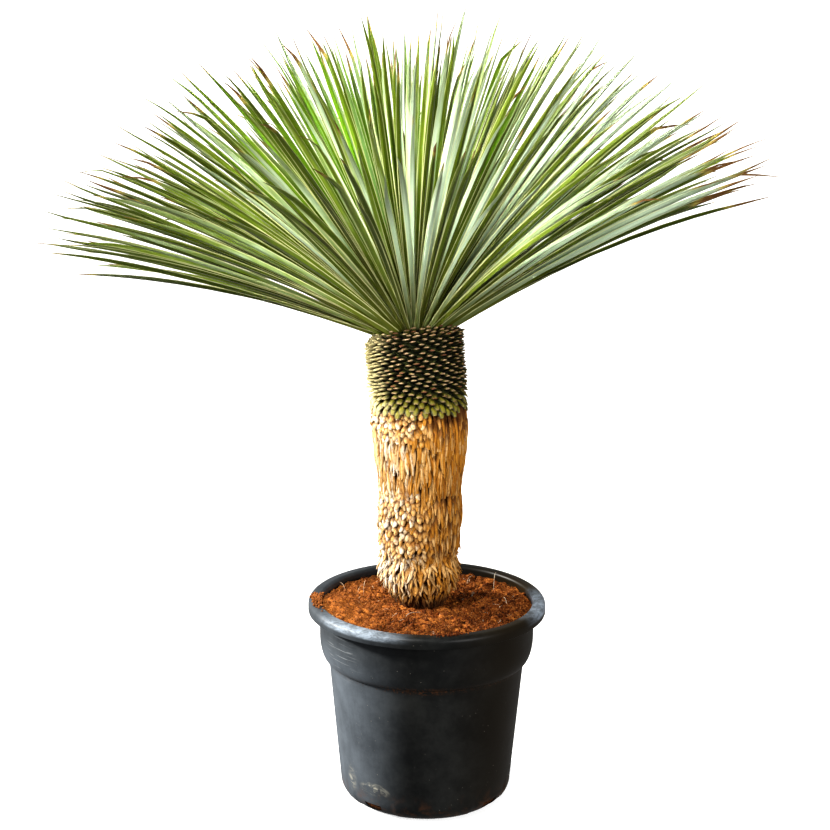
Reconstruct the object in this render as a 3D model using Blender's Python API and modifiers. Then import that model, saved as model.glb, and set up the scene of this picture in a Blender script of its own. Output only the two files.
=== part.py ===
"""Beaked yucca, Yucca rostrata, standing in a black nursery pot.

Units are metres with +Z up. The origin is on the pot's axis, on the surface the pot stands on,
and -Y is the front. The plant is a straw-clad trunk, a collar of cut green leaf bases and a
leaning head of long narrow leaves. Each of these, the soil and the pot is one object.
"""

import math
from typing import NamedTuple

import bmesh
import bpy
import numpy as np
from mathutils import Matrix, Vector

# Clearance between pieces that touch
GAP = 0.0003
MERGE = 0.00001
TURN_STEPS = 40

# Pot: a moulded shell with a rolled lip, a straight band, a shoulder and a tapering lower wall
POT_RIM_RADIUS = 0.200
POT_HEIGHT = 0.350
POT_WALL = 0.003
LIP_DROP = 0.020
LIP_ROUND = 0.009
BAND_RADIUS = 0.1805
SHOULDER_HEIGHT = 0.2875
CREASE_RADIUS = 0.1655
CREASE_HEIGHT = 0.246
FOOT_RADIUS = 0.145
FOOT_ROUND = 0.032

# Drain slots through the rounded foot
SLOT_COUNT = 4
SLOT_FIRST_ANGLE = math.radians(231.0)
SLOT_WIDTH = 0.034
SLOT_LOW = 0.004
SLOT_HIGH = 0.022
SLOT_CUTTER_INNER = 0.112
SLOT_CUTTER_OUTER = 0.160

# Soil: a level with a low heap round the trunk and a higher one at the left rim
SOIL_LEVEL = 0.336
SOIL_RINGS = (0.055, 0.080, 0.105, 0.130, 0.155)
SOIL_HEAPS = (
    ((-0.010, -0.075), 0.060, 0.012),
    ((-0.150, -0.030), 0.050, 0.016),
    ((0.090, 0.020), 0.050, 0.003),
    ((0.000, 0.140), 0.060, -0.003),
)
SOIL_LUMP = 0.0016
SOIL_LUMP_PITCH = 0.036

# Trunk: its axis leans a little to the left
TRUNK_FOOT_CENTRE = (-0.009, 0.0)
TRUNK_FOOT_BOTTOM = 0.225
TRUNK_TOP = 0.682
TRUNK_TOP_X = -0.0160
SOIL_HOLE_RADIUS = 0.0475
COLUMNS = 24

# Collar of cut leaf bases, and the plane on its top that carries the head of leaves
COLLAR_BOTTOM = (TRUNK_TOP_X, 0.0, TRUNK_TOP + GAP)
COLLAR_TOP = (-0.0245, 0.0, 0.797)
COLLAR_LENGTH = math.dist(COLLAR_BOTTOM, COLLAR_TOP)
COLLAR_LEAN_BACK = math.radians(13.0)
COLLAR_LEAN_LEFT = math.radians(9.0)
COLLAR_LEVELS = 13
COLLAR_VALLEY = 0.067
COLLAR_REACH = 0.0825
COLLAR_FRINGE_REACH = 0.0790
COLLAR_HANGING_SHARE = 0.35

# Head of leaves: blades that grow out of a dome, by the golden angle
LEAF_COUNT = 400
LEAF_SEED = 41
GOLDEN_ANGLE = math.pi * (3.0 - math.sqrt(5.0))
DOME_CENTRE = (-0.022, 0.0, 0.778)
DOME_RADIUS = 0.066
DOME_FOOT_RADIUS = 0.062
DOME_FOOT_POINTS = 16
LEAF_LOWEST = math.radians(25.0)
LEAF_CROWDING = 1.1
LEAF_LENGTH_LOW = 0.580
LEAF_LENGTH_TOP = 0.455
LEAF_LENGTH_POWER = 1.1
LEAF_SHORTEST = 0.89
LEAF_LONGEST = 1.05
LEAF_DROOP_LOW = math.radians(15.5)
LEAF_DROOP_TOP = math.radians(6.0)
LEAF_DROOP_SPREAD = 0.3
LEAF_BEND_POWER = 1.3
LEAF_STRAY = math.radians(1.8)
LEAF_SWAY = 0.04
LEAF_TWIST = 1.0
LEAF_LEAN_BACK = math.radians(13.0)
LEAF_LEAN_LEFT = math.radians(6.0)
LEAF_FINE_STEPS = 20
LEAF_STATIONS = np.array([0.0, 0.40, 0.80, 1.0])
LEAF_HALF_WIDTHS = np.array([0.0023, 0.0064, 0.0058])
LEAF_KEELS = np.array([0.0026, 0.0026, 0.0018])


class Finish(NamedTuple):
    """Colour, roughness and metallic value of one material."""

    colour: tuple
    roughness: float
    metallic: float = 0.0


FINISHES = {
    "pot": Finish((0.018, 0.020, 0.024), 0.45),
    "soil": Finish((0.110, 0.045, 0.022), 0.95),
    "trunk": Finish((0.520, 0.330, 0.160), 0.80),
    "leaf_base_collar": Finish((0.210, 0.230, 0.075), 0.70),
    "leaf_crown": Finish((0.175, 0.270, 0.085), 0.50),
}


class Row(NamedTuple):
    """One level of a coat of leaf bases.

    height is the distance up the stem, valley the radius between the bases and reach the radius
    of their ends. wide and tall are the end's size as shares of its cell, and drop is how far the
    end hangs below the middle of the cell, as a share of the cell's lower half.
    """

    height: float
    valley: float
    reach: float
    wide: float = 0.5
    tall: float = 0.0
    drop: float = 0.5


TRUNK_ROWS = (
    Row(0.350, 0.0460, 0.0460),
    Row(0.372, 0.0490, 0.0550, 0.60, 0.0, 0.3),
    Row(0.403, 0.0540, 0.0690, 0.55, 0.0, 0.8),
    Row(0.428, 0.0550, 0.0650, 0.55, 0.0, 0.6),
    Row(0.446, 0.0600, 0.0705, 0.40, 0.0, 0.4),
    Row(0.464, 0.0620, 0.0715, 0.40, 0.0, 0.4),
    Row(0.482, 0.0620, 0.0710, 0.40, 0.0, 0.4),
    Row(0.500, 0.0610, 0.0700, 0.40, 0.0, 0.4),
    Row(0.518, 0.0600, 0.0690, 0.40, 0.0, 0.4),
    Row(0.536, 0.0590, 0.0665, 0.50, 0.0, 0.3),
    Row(0.590, 0.0640, 0.0745, 0.60, 0.0, 0.8),
    Row(0.640, 0.0660, 0.0780, 0.55, 0.0, 0.5),
    Row(0.655, 0.0680, 0.0785, 0.60, 0.0, 0.3),
    Row(0.669, 0.0680, 0.0765, 0.60, 0.0, 0.3),
    Row(TRUNK_TOP, 0.0700, 0.0700),
)
TRUNK_FOOT_RINGS = ((0.340, 0.0465), (TRUNK_FOOT_BOTTOM + 0.012, 0.0465), (TRUNK_FOOT_BOTTOM, 0.0350))


def clear_scene():
    """Remove every object, so that the model starts from nothing."""
    for item in list(bpy.data.objects):
        bpy.data.objects.remove(item, do_unlink=True)


def make_collection(name):
    """Add a named collection to the scene."""
    collection = bpy.data.collections.new(name)
    bpy.context.scene.collection.children.link(collection)
    return collection


def make_material(name):
    """Make a sub-part's Principled material from its finish."""
    finish = FINISHES[name]
    material = bpy.data.materials.new(name + "_finish")
    material.use_nodes = True
    shader = material.node_tree.nodes["Principled BSDF"]
    shader.inputs["Base Color"].default_value = (*finish.colour, 1.0)
    shader.inputs["Roughness"].default_value = finish.roughness
    shader.inputs["Metallic"].default_value = finish.metallic
    return material


def add_object(name, mesh, collection, finished=True):
    """Put a mesh into a collection as a named object, with its own material."""
    item = bpy.data.objects.new(name, mesh)
    collection.objects.link(item)
    if finished:
        mesh.materials.append(make_material(name))
    return item


def mesh_from_points(name, points, faces):
    """Make a mesh from points and faces, with its normals pointing out."""
    mesh = bpy.data.meshes.new(name)
    mesh.from_pydata([tuple(point) for point in points], [], faces)
    shape = bmesh.new()
    shape.from_mesh(mesh)
    bmesh.ops.recalc_face_normals(shape, faces=shape.faces)
    shape.to_mesh(mesh)
    shape.free()
    return mesh


def profile_mesh(name, profile):
    """Make an open chain of edges in the XZ plane from (radius, height) pairs."""
    points = [(radius, 0.0, height) for radius, height in profile]
    edges = [(index, index + 1) for index in range(len(points) - 1)]
    mesh = bpy.data.meshes.new(name)
    mesh.from_pydata(points, edges, [])
    return mesh


def add_screw(item, steps):
    """Turn a profile a full circle about the object's Z axis."""
    screw = item.modifiers.new("turn", "SCREW")
    screw.axis = "Z"
    screw.angle = 2.0 * math.pi
    screw.steps = steps
    screw.render_steps = steps
    screw.use_merge_vertices = True
    screw.merge_threshold = MERGE
    return screw


def evaluated_mesh(item):
    """Return a copy of the object's mesh with its modifiers applied."""
    graph = bpy.context.evaluated_depsgraph_get()
    graph.update()
    return bpy.data.meshes.new_from_object(item.evaluated_get(graph))


def apply_modifiers(item):
    """Replace the object's mesh by its evaluated one."""
    finished = evaluated_mesh(item)
    rough = item.data
    item.modifiers.clear()
    item.data = finished
    bpy.data.meshes.remove(rough)


def make_cutter(item):
    """Show an object as a guide that is not part of the model."""
    item.hide_render = True
    item.display_type = "WIRE"


def shade_round(item, angle):
    """Shade the object smooth, apart from edges sharper than the angle."""
    item.data.shade_smooth()
    item.data.set_sharp_from_angle(angle=angle)


def elliptic_arc(centre, radii, start, end, steps):
    """Points of an arc of an ellipse in (radius, height), both ends included."""
    points = []
    for step in range(steps + 1):
        angle = start + (end - start) * step / steps
        points.append((centre[0] + radii[0] * math.cos(angle), centre[1] + radii[1] * math.sin(angle)))
    return points


def wall_profile():
    """The outer side of the pot's wall, from the top of its shoulder down to its floor's centre."""
    shoulder = elliptic_arc(
        (CREASE_RADIUS, SHOULDER_HEIGHT),
        (BAND_RADIUS - CREASE_RADIUS, SHOULDER_HEIGHT - CREASE_HEIGHT),
        0.0, -math.pi / 2.0, 3)
    foot = elliptic_arc(
        (FOOT_RADIUS - FOOT_ROUND, FOOT_ROUND), (FOOT_ROUND, FOOT_ROUND), 0.0, -math.pi / 2.0, 3)
    return shoulder + foot + [(0.0, 0.0)]


def inset_profile(profile, inset):
    """Move a profile that runs down an outer side inwards, keeping its stretches parallel."""
    lines = []
    for (radius, height), (next_radius, next_height) in zip(profile, profile[1:]):
        along = Vector((next_radius - radius, next_height - height)).normalized()
        lines.append(Vector((along.y, -along.x)))
    moved = []
    for index, point in enumerate(profile):
        before = lines[max(0, index - 1)]
        after = lines[min(index, len(lines) - 1)]
        mitre = (before + after) / (1.0 + before.dot(after))
        moved.append(tuple(Vector(point) + inset * mitre))
    return moved


def build_pot(parts, cutters):
    """Turn the pot's outer side, give it a wall and cut the drain slots."""
    lip = elliptic_arc(
        (POT_RIM_RADIUS - LIP_ROUND, POT_HEIGHT - LIP_ROUND),
        (LIP_ROUND - POT_WALL, LIP_ROUND - POT_WALL),
        0.0, math.pi / 2.0, 2)
    profile = [(POT_RIM_RADIUS - POT_WALL, POT_HEIGHT - LIP_DROP)] + lip
    profile += [(BAND_RADIUS, POT_HEIGHT - POT_WALL)] + wall_profile()
    pot = add_object("pot", profile_mesh("pot", profile), parts)
    add_screw(pot, TURN_STEPS)
    wall = pot.modifiers.new("wall", "SOLIDIFY")
    wall.thickness = POT_WALL
    wall.offset = -1.0
    wall.use_even_offset = True
    cut = pot.modifiers.new("drain_slots", "BOOLEAN")
    cut.operation = "DIFFERENCE"
    cut.solver = "EXACT"
    cut.operand_type = "COLLECTION"
    cut.collection = build_slot_cutters(cutters)
    apply_modifiers(pot)
    shade_round(pot, math.radians(40.0))
    return pot


def build_slot_cutters(cutters):
    """Boxes that cut the drain slots, evenly spaced round the foot."""
    group = bpy.data.collections.new("drain_slot_cutters")
    cutters.children.link(group)
    size = Vector((SLOT_CUTTER_OUTER - SLOT_CUTTER_INNER, SLOT_WIDTH, SLOT_HIGH - SLOT_LOW))
    middle = Vector(((SLOT_CUTTER_OUTER + SLOT_CUTTER_INNER) / 2.0, 0.0, (SLOT_HIGH + SLOT_LOW) / 2.0))
    for index in range(SLOT_COUNT):
        angle = SLOT_FIRST_ANGLE + 2.0 * math.pi * index / SLOT_COUNT
        name = f"drain_slot_cutter_{index + 1}"
        shape = bmesh.new()
        bmesh.ops.create_cube(shape, size=1.0)
        place = Matrix.Rotation(angle, 4, "Z") @ Matrix.Translation(middle) @ Matrix.Diagonal((*size, 1.0))
        bmesh.ops.transform(shape, matrix=place, verts=shape.verts)
        mesh = bpy.data.meshes.new(name)
        shape.to_mesh(mesh)
        shape.free()
        make_cutter(add_object(name, mesh, group, finished=False))
    return group


def soil_height(x, y):
    """Height of the soil's top above its level: broad heaps with low lumps over them."""
    height = np.zeros_like(x)
    for (centre_x, centre_y), spread, rise in SOIL_HEAPS:
        height += rise * np.exp(-((x - centre_x) ** 2 + (y - centre_y) ** 2) / spread ** 2)
    turn = 2.0 * math.pi / SOIL_LUMP_PITCH
    height += SOIL_LUMP * np.sin(turn * (x + 0.4 * y)) * np.sin(turn * (y - 0.3 * x) + 1.0)
    return height


def build_soil(parts, cutters):
    """Fill the pot's inside with soil, heap its top and leave a plain hole for the trunk."""
    inset = POT_WALL + GAP
    profile = [(radius, SOIL_LEVEL) for radius in (0.0, *SOIL_RINGS, BAND_RADIUS - inset)]
    profile += inset_profile(wall_profile(), inset)
    soil = add_object("soil", profile_mesh("soil", profile), parts)
    add_screw(soil, TURN_STEPS)
    apply_modifiers(soil)
    count = len(soil.data.vertices)
    points = np.empty(count * 3)
    soil.data.vertices.foreach_get("co", points)
    points = points.reshape(count, 3)
    top = points[:, 2] > SOIL_LEVEL - GAP
    points[top, 2] += soil_height(points[top, 0], points[top, 1])
    soil.data.vertices.foreach_set("co", points.ravel())
    hole_bottom = TRUNK_FOOT_BOTTOM - GAP
    hole_depth = POT_HEIGHT + POT_WALL - hole_bottom
    shape = bmesh.new()
    bmesh.ops.create_cone(shape, cap_ends=True, segments=TURN_STEPS, radius1=SOIL_HOLE_RADIUS,
                          radius2=SOIL_HOLE_RADIUS, depth=2.0 * hole_depth)
    middle = Vector((*TRUNK_FOOT_CENTRE, hole_bottom + hole_depth))
    bmesh.ops.translate(shape, vec=middle, verts=shape.verts)
    mesh = bpy.data.meshes.new("trunk_hole_cutter")
    shape.to_mesh(mesh)
    shape.free()
    cutter = add_object("trunk_hole_cutter", mesh, cutters, finished=False)
    make_cutter(cutter)
    cut = soil.modifiers.new("trunk_hole", "BOOLEAN")
    cut.operation = "DIFFERENCE"
    cut.solver = "EXACT"
    cut.object = cutter
    apply_modifiers(soil)
    return soil


def lean(back, left):
    """Rotation that leans the vertical back, towards +Y, and then left, towards -X."""
    return Matrix.Rotation(-left, 3, "Y") @ Matrix.Rotation(-back, 3, "X")


def trunk_frame(height):
    """Centre and rotation of the trunk's ring at a height above the floor."""
    share = max(0.0, (height - SOIL_LEVEL) / (TRUNK_TOP - SOIL_LEVEL))
    centre_x = TRUNK_FOOT_CENTRE[0] + (TRUNK_TOP_X - TRUNK_FOOT_CENTRE[0]) * share
    return Vector((centre_x, TRUNK_FOOT_CENTRE[1], height)), Matrix.Identity(3)


def collar_frame(height):
    """Centre and rotation of the collar's ring at a distance up from its bottom."""
    share = height / COLLAR_LENGTH
    centre = Vector(COLLAR_BOTTOM).lerp(Vector(COLLAR_TOP), share)
    return centre, lean(COLLAR_LEAN_BACK * share, COLLAR_LEAN_LEFT * share)


def ring_point(frame, radius, angle):
    """World place of a point on a ring of a leaning stem."""
    centre, rotation = frame
    return centre + rotation @ Vector((radius * math.cos(angle), radius * math.sin(angle), 0.0))


def coat_mesh(name, frame_at, rows, foot_rings=()):
    """Close a stem's surface into staggered lozenge cells, each raised to the end of a leaf base.

    Each level is a ring of valley points, half a step round from the level below, so that two
    points of one level and one of each neighbour bound a cell. Plain rings may follow below.
    """
    def corner(level, column):
        """Index of a valley point."""
        return level * COLUMNS + column % COLUMNS

    pitch = 2.0 * math.pi / COLUMNS
    last = len(rows) - 1
    points = []
    for level, row in enumerate(rows):
        for column in range(COLUMNS):
            points.append(ring_point(frame_at(row.height), row.valley, (column + 0.5 * (level % 2)) * pitch))
    faces = []
    for level in range(1, last):
        row = rows[level]
        for column in range(COLUMNS):
            beside = column + level % 2
            corners = (corner(level, column), corner(level, column + 1),
                       corner(level + 1, beside), corner(level - 1, beside))
            upper = rows[level + 1].height - row.height
            lower = row.height - rows[level - 1].height
            middle = row.height - row.drop * lower
            angle = (column + 0.5 + 0.5 * (level % 2)) * pitch
            aside = 0.5 * pitch * row.wide
            first = len(points)
            points.append(ring_point(frame_at(middle), row.reach, angle - aside))
            points.append(ring_point(frame_at(middle), row.reach, angle + aside))
            if row.tall:
                points.append(ring_point(frame_at(middle + row.tall * upper), row.reach, angle))
                points.append(ring_point(frame_at(middle - row.tall * lower), row.reach, angle))
                faces += blunt_cell(*corners, first)
            else:
                faces += edged_cell(*corners, first)
    ring = [corner(0, column) for column in range(COLUMNS)]
    for column in range(COLUMNS):
        faces.append((corner(0, column), corner(0, column + 1), corner(1, column)))
        faces.append((corner(last, column), corner(last, column + 1), corner(last - 1, column + last % 2)))
    for height, radius in foot_rings:
        first = len(points)
        points += [ring_point(frame_at(height), radius, column * pitch) for column in range(COLUMNS)]
        below = [first + column for column in range(COLUMNS)]
        for column in range(COLUMNS):
            after = (column + 1) % COLUMNS
            faces.append((ring[column], ring[after], below[after], below[column]))
        ring = below
    faces.append(tuple(ring))
    faces.append(tuple(corner(last, column) for column in range(COLUMNS)))
    return mesh_from_points(name, points, faces)


def blunt_cell(left, right, top, bottom, first):
    """Faces of a cell that ends in a flat lozenge."""
    end_left, end_right, end_top, end_bottom = first, first + 1, first + 2, first + 3
    return [
        (end_left, end_bottom, end_right, end_top),
        (left, bottom, end_bottom, end_left),
        (bottom, right, end_right, end_bottom),
        (right, top, end_top, end_right),
        (top, left, end_left, end_top),
    ]


def edged_cell(left, right, top, bottom, first):
    """Faces of a cell that ends in a short edge."""
    end_left, end_right = first, first + 1
    return [
        (left, end_left, top),
        (top, end_left, end_right),
        (top, end_right, right),
        (left, bottom, end_left),
        (end_left, bottom, end_right),
        (end_right, bottom, right),
    ]


def build_trunk(parts):
    """Raise the dead leaf bases from the trunk's surface, over a plain foot in the soil."""
    return add_object("trunk", coat_mesh("trunk", trunk_frame, TRUNK_ROWS, TRUNK_FOOT_RINGS), parts)


def collar_rows():
    """Levels of the collar: the lowest bases hang down, and the others end in cut lozenges."""
    rows = []
    for level in range(COLLAR_LEVELS + 1):
        share = level / COLLAR_LEVELS
        hanging = max(0.0, 1.0 - share / COLLAR_HANGING_SHARE)
        reach = COLLAR_REACH + (COLLAR_FRINGE_REACH - COLLAR_REACH) * hanging
        rows.append(Row(COLLAR_LENGTH * share, COLLAR_VALLEY, reach, 0.60, 0.36, 0.10 + 0.45 * hanging))
    return rows


def build_collar(parts):
    """Raise the green leaf bases from the collar's surface."""
    mesh = coat_mesh("leaf_base_collar", collar_frame, collar_rows())
    return add_object("leaf_base_collar", mesh, parts)


def leaf_lines():
    """Centre lines, widthwise directions and keel directions of the leaves.

    Roots follow the golden angle round the dome's axis and step down evenly in solid angle. Each
    leaf sets out a little off its root's direction, bends down and aside along its length, and
    its section turns about its centre line.
    """
    draw = np.random.default_rng(LEAF_SEED)
    index = np.arange(LEAF_COUNT)
    share = ((index + 0.5) / LEAF_COUNT) ** LEAF_CROWDING
    azimuth = index * GOLDEN_ANGLE
    root_rise = np.arcsin(1.0 - (1.0 - math.sin(LEAF_LOWEST)) * share)
    rise = root_rise + draw.uniform(-LEAF_STRAY, LEAF_STRAY, LEAF_COUNT)
    yaw = draw.uniform(-LEAF_STRAY, LEAF_STRAY, LEAF_COUNT)
    low = (math.pi / 2.0 - root_rise) / (math.pi / 2.0 - LEAF_LOWEST)
    length = LEAF_LENGTH_TOP + (LEAF_LENGTH_LOW - LEAF_LENGTH_TOP) * low ** LEAF_LENGTH_POWER
    length *= draw.uniform(LEAF_SHORTEST, LEAF_LONGEST, LEAF_COUNT)
    droop = LEAF_DROOP_TOP + (LEAF_DROOP_LOW - LEAF_DROOP_TOP) * low
    droop *= 1.0 + draw.uniform(-LEAF_DROOP_SPREAD, LEAF_DROOP_SPREAD, LEAF_COUNT)
    sway = draw.uniform(-LEAF_SWAY, LEAF_SWAY, LEAF_COUNT)
    twist = draw.uniform(-LEAF_TWIST, LEAF_TWIST, LEAF_COUNT)

    along = np.linspace(0.0, 1.0, LEAF_FINE_STEPS + 1)
    slope = rise[:, None] - droop[:, None] * along ** LEAF_BEND_POWER
    middle = 0.5 * (slope[:, 1:] + slope[:, :-1])
    step = length[:, None] / LEAF_FINE_STEPS
    start = np.zeros((LEAF_COUNT, 1))
    out = DOME_RADIUS * np.cos(root_rise)[:, None] + np.hstack([start, np.cumsum(np.cos(middle) * step, axis=1)])
    up = DOME_RADIUS * np.sin(root_rise)[:, None] + np.hstack([start, np.cumsum(np.sin(middle) * step, axis=1)])
    aside = length[:, None] * (yaw[:, None] * along + sway[:, None] * along ** 2)

    at = np.round(LEAF_STATIONS * LEAF_FINE_STEPS).astype(int)
    out, up, aside, slope = out[:, at], up[:, at], aside[:, at], slope[:, at]
    cos_a, sin_a = np.cos(azimuth)[:, None], np.sin(azimuth)[:, None]
    line = np.stack([out * cos_a - aside * sin_a, out * sin_a + aside * cos_a, up], axis=-1)
    level = np.stack([-sin_a + 0.0 * out, cos_a + 0.0 * out, 0.0 * out], axis=-1)
    upward = np.stack([-np.sin(slope) * cos_a, -np.sin(slope) * sin_a, np.cos(slope)], axis=-1)
    roll = (twist[:, None] * np.minimum(1.0, 1.5 * LEAF_STATIONS))[..., None]
    across = level * np.cos(roll) + upward * np.sin(roll)
    keel = level * np.sin(roll) - upward * np.cos(roll)
    spin = np.array(lean(LEAF_LEAN_BACK, LEAF_LEAN_LEFT))
    return line @ spin.T + np.array(DOME_CENTRE), across @ spin.T, keel @ spin.T


def blade_sections(line, across, keel):
    """Three corners of a leaf at each station: its two edges and the keel below their middle."""
    sections = []
    for station, (half, depth) in enumerate(zip(LEAF_HALF_WIDTHS, LEAF_KEELS)):
        middle = line[station]
        edges = [middle - across[station] * half, middle + across[station] * half]
        sections.append(edges + [middle + keel[station] * depth])
    centre = np.array(DOME_CENTRE)
    sections[0] = [centre + (point - centre) * DOME_RADIUS / np.linalg.norm(point - centre) for point in sections[0]]
    return sections


def add_blade(shape, sections, root, tip_point):
    """Loft a leaf from the three root corners, in order, through its sections to its tip."""
    ring = root
    for section in sections[1:]:
        after = [shape.verts.new(point) for point in section]
        for side in range(3):
            beside = (side + 1) % 3
            shape.faces.new((ring[side], ring[beside], after[beside]))
            shape.faces.new((ring[side], after[beside], after[side]))
        ring = after
    tip = shape.verts.new(tip_point)
    for side in range(3):
        shape.faces.new((ring[side], ring[(side + 1) % 3], tip))


def build_crown(parts):
    """Wrap a dome round the leaves' root sections and draw each one out into its leaf.

    The dome is the hull of the root corners, which all lie on one sphere, and of a foot ring on
    the collar's top. Each root section is one face of it, and its leaf takes that face's place.
    """
    rotation = lean(COLLAR_LEAN_BACK, COLLAR_LEAN_LEFT)
    axis = rotation @ Vector((0.0, 0.0, 1.0))
    depth = (Vector(COLLAR_TOP) - Vector(DOME_CENTRE)).dot(axis) + GAP
    seat = (Vector(DOME_CENTRE) + depth * axis, rotation)
    shape = bmesh.new()
    leaves = []
    for line, across, keel in zip(*leaf_lines()):
        sections = blade_sections(line, across, keel)
        leaves.append(([shape.verts.new(point) for point in sections[0]], sections, line[-1]))
    for point in range(DOME_FOOT_POINTS):
        shape.verts.new(ring_point(seat, DOME_FOOT_RADIUS, 2.0 * math.pi * point / DOME_FOOT_POINTS))
    bmesh.ops.convex_hull(shape, input=shape.verts)
    for root, sections, tip_point in leaves:
        face = shape.faces.get(root)
        shape.faces.remove(face)
        add_blade(shape, sections, root, tip_point)
    bmesh.ops.recalc_face_normals(shape, faces=shape.faces)
    mesh = bpy.data.meshes.new("leaf_crown")
    shape.to_mesh(mesh)
    shape.free()
    return add_object("leaf_crown", mesh, parts)


def main():
    """Build the plant and its pot."""
    clear_scene()
    parts = make_collection("beaked_yucca")
    cutters = make_collection("cutters")
    build_pot(parts, cutters)
    build_soil(parts, cutters)
    build_trunk(parts)
    build_collar(parts)
    build_crown(parts)


main()
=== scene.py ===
"""Beaked yucca, Yucca rostrata, in a black nursery pot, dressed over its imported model.

Lengths are metres with +Z up. The origin is on the pot's axis, on the floor, and -Y is the front.
"""

import logging
import math
from dataclasses import dataclass, field
from enum import Enum
from typing import Optional, Sequence, Union

import bpy
import numpy as np
from mathutils import Matrix, Vector


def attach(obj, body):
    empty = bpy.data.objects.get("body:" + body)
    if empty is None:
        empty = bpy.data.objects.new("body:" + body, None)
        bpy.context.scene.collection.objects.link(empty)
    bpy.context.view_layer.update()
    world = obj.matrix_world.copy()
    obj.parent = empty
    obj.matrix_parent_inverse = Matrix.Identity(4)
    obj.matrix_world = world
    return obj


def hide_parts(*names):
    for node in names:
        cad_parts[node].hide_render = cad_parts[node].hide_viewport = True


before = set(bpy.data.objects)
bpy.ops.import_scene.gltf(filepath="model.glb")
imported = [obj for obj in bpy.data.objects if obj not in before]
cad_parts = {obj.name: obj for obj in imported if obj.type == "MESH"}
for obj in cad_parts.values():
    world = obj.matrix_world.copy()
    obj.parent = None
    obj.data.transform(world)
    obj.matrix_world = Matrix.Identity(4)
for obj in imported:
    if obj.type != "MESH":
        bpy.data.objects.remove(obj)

Array = np.ndarray
Colour = tuple[float, float, float]
Place = tuple[float, float, float]
Scale = tuple[float, float, float]
Span = tuple[float, float]
Index = Union[int, Array]
Socket = bpy.types.NodeSocket
Value = Union[Socket, float, Colour]
Stops = Sequence[tuple[float, Colour]]

log = logging.getLogger("beaked_yucca")

GOLDEN_ANGLE = math.pi * (3.0 - math.sqrt(5.0))


class Node(Enum):
    """The CAD nodes that the pieces stand for."""

    POT = "pot"
    SOIL = "soil"
    TRUNK = "trunk"
    COLLAR = "leaf_base_collar"
    CROWN = "leaf_crown"


class Slot(Enum):
    """Names of material slots."""

    POT = "pot_plastic"
    SOIL = "coir_soil"
    TRUNK = "dry_leaf_bases"
    COLLAR = "green_leaf_bases"
    CROWN = "leaf_blade"


# Shapes as whole arrays


def lean(back: float, left: float) -> Array:
    """The 3 x 3 turn about X by -back, then about Y by -left, both in radians."""
    return np.array(Matrix.Rotation(-left, 3, "Y") @ Matrix.Rotation(-back, 3, "X"))


def unit(vectors: Array) -> Array:
    """Each vector divided by its own length."""
    return vectors / np.maximum(np.linalg.norm(vectors, axis=-1, keepdims=True), 1e-12)


def ease(values: Array, low: float, high: float) -> Array:
    """A smooth rise from 0 at low to 1 at high: 3t^2 - 2t^3 of the clipped share t."""
    share = np.clip((values - low) / (high - low), 0.0, 1.0)
    return share * share * (3.0 - 2.0 * share)


def full_turn(columns: int) -> Array:
    """Angles that divide a full turn evenly."""
    return np.linspace(0.0, 2.0 * math.pi, columns, endpoint=False)


def outward(turn: Array) -> Array:
    """Level unit vectors that point away from the upright axis at each angle."""
    return np.stack([np.cos(turn), np.sin(turn), 0.0 * turn], axis=-1)


def arc(x: float, y: float, turns: Array, wide: float, high: float) -> Array:
    """Points at the given angles of an ellipse round (x, y), by half its width and half its height."""
    return np.stack([x + wide * np.cos(turns), y + high * np.sin(turns)], axis=-1)


def lattice_noise(x: Array, y: Array, pitch: float, seed: int) -> Array:
    """Smooth random height between -1 and 1 over a plane.

    Random values stand on a square lattice, and each point takes the eased average of the four
    round it.

    Args:
        x: First coordinate of each point.
        y: Second coordinate of each point.
        pitch: Size of a lattice cell.
        seed: Seed of the lattice's values.

    Returns:
        One value for each point.
    """
    size = 256
    table = np.random.default_rng(seed).uniform(-1.0, 1.0, (size, size))
    cell_x = np.floor(x / pitch)
    cell_y = np.floor(y / pitch)
    part_x = ease(x / pitch - cell_x, 0.0, 1.0)
    part_y = ease(y / pitch - cell_y, 0.0, 1.0)
    column = cell_x.astype(int) % size
    row = cell_y.astype(int) % size
    beside = (column + 1) % size
    above = (row + 1) % size
    lower = table[column, row] * (1.0 - part_x) + table[beside, row] * part_x
    upper = table[column, above] * (1.0 - part_x) + table[beside, above] * part_x
    return lower * (1.0 - part_y) + upper * part_y


def follow(slope: Array, step: Array) -> tuple[Array, Array]:
    """How far out and how far up lines have gone at each station.

    Args:
        slope: The lines' slopes in radians, shape (lines, stations).
        step: Length between two stations, shape (lines, 1) or (lines, stations - 1).

    Returns:
        The way out and the way up, both with the slopes' shape and 0 at the first station.
    """
    middle = 0.5 * (slope[:, 1:] + slope[:, :-1])
    start = np.zeros((len(slope), 1))
    out = np.hstack([start, np.cumsum(np.cos(middle) * step, axis=1)])
    up = np.hstack([start, np.cumsum(np.sin(middle) * step, axis=1)])
    return out, up


def ball() -> tuple[Array, Array]:
    """The twelve corners and the twenty three-cornered faces of a small ball of radius 1."""
    golden = (1.0 + math.sqrt(5.0)) / 2.0
    corners = [(-1, golden, 0), (1, golden, 0), (-1, -golden, 0), (1, -golden, 0),
               (0, -1, golden), (0, 1, golden), (0, -1, -golden), (0, 1, -golden),
               (golden, 0, -1), (golden, 0, 1), (-golden, 0, -1), (-golden, 0, 1)]
    faces = [(0, 11, 5), (0, 5, 1), (0, 1, 7), (0, 7, 10), (0, 10, 11), (1, 5, 9), (5, 11, 4),
             (11, 10, 2), (10, 7, 6), (7, 1, 8), (3, 9, 4), (3, 4, 2), (3, 2, 6), (3, 6, 8),
             (3, 8, 9), (4, 9, 5), (2, 4, 11), (6, 2, 10), (8, 6, 7), (9, 8, 1)]
    return unit(np.array(corners, float)), np.array(faces)


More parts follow.
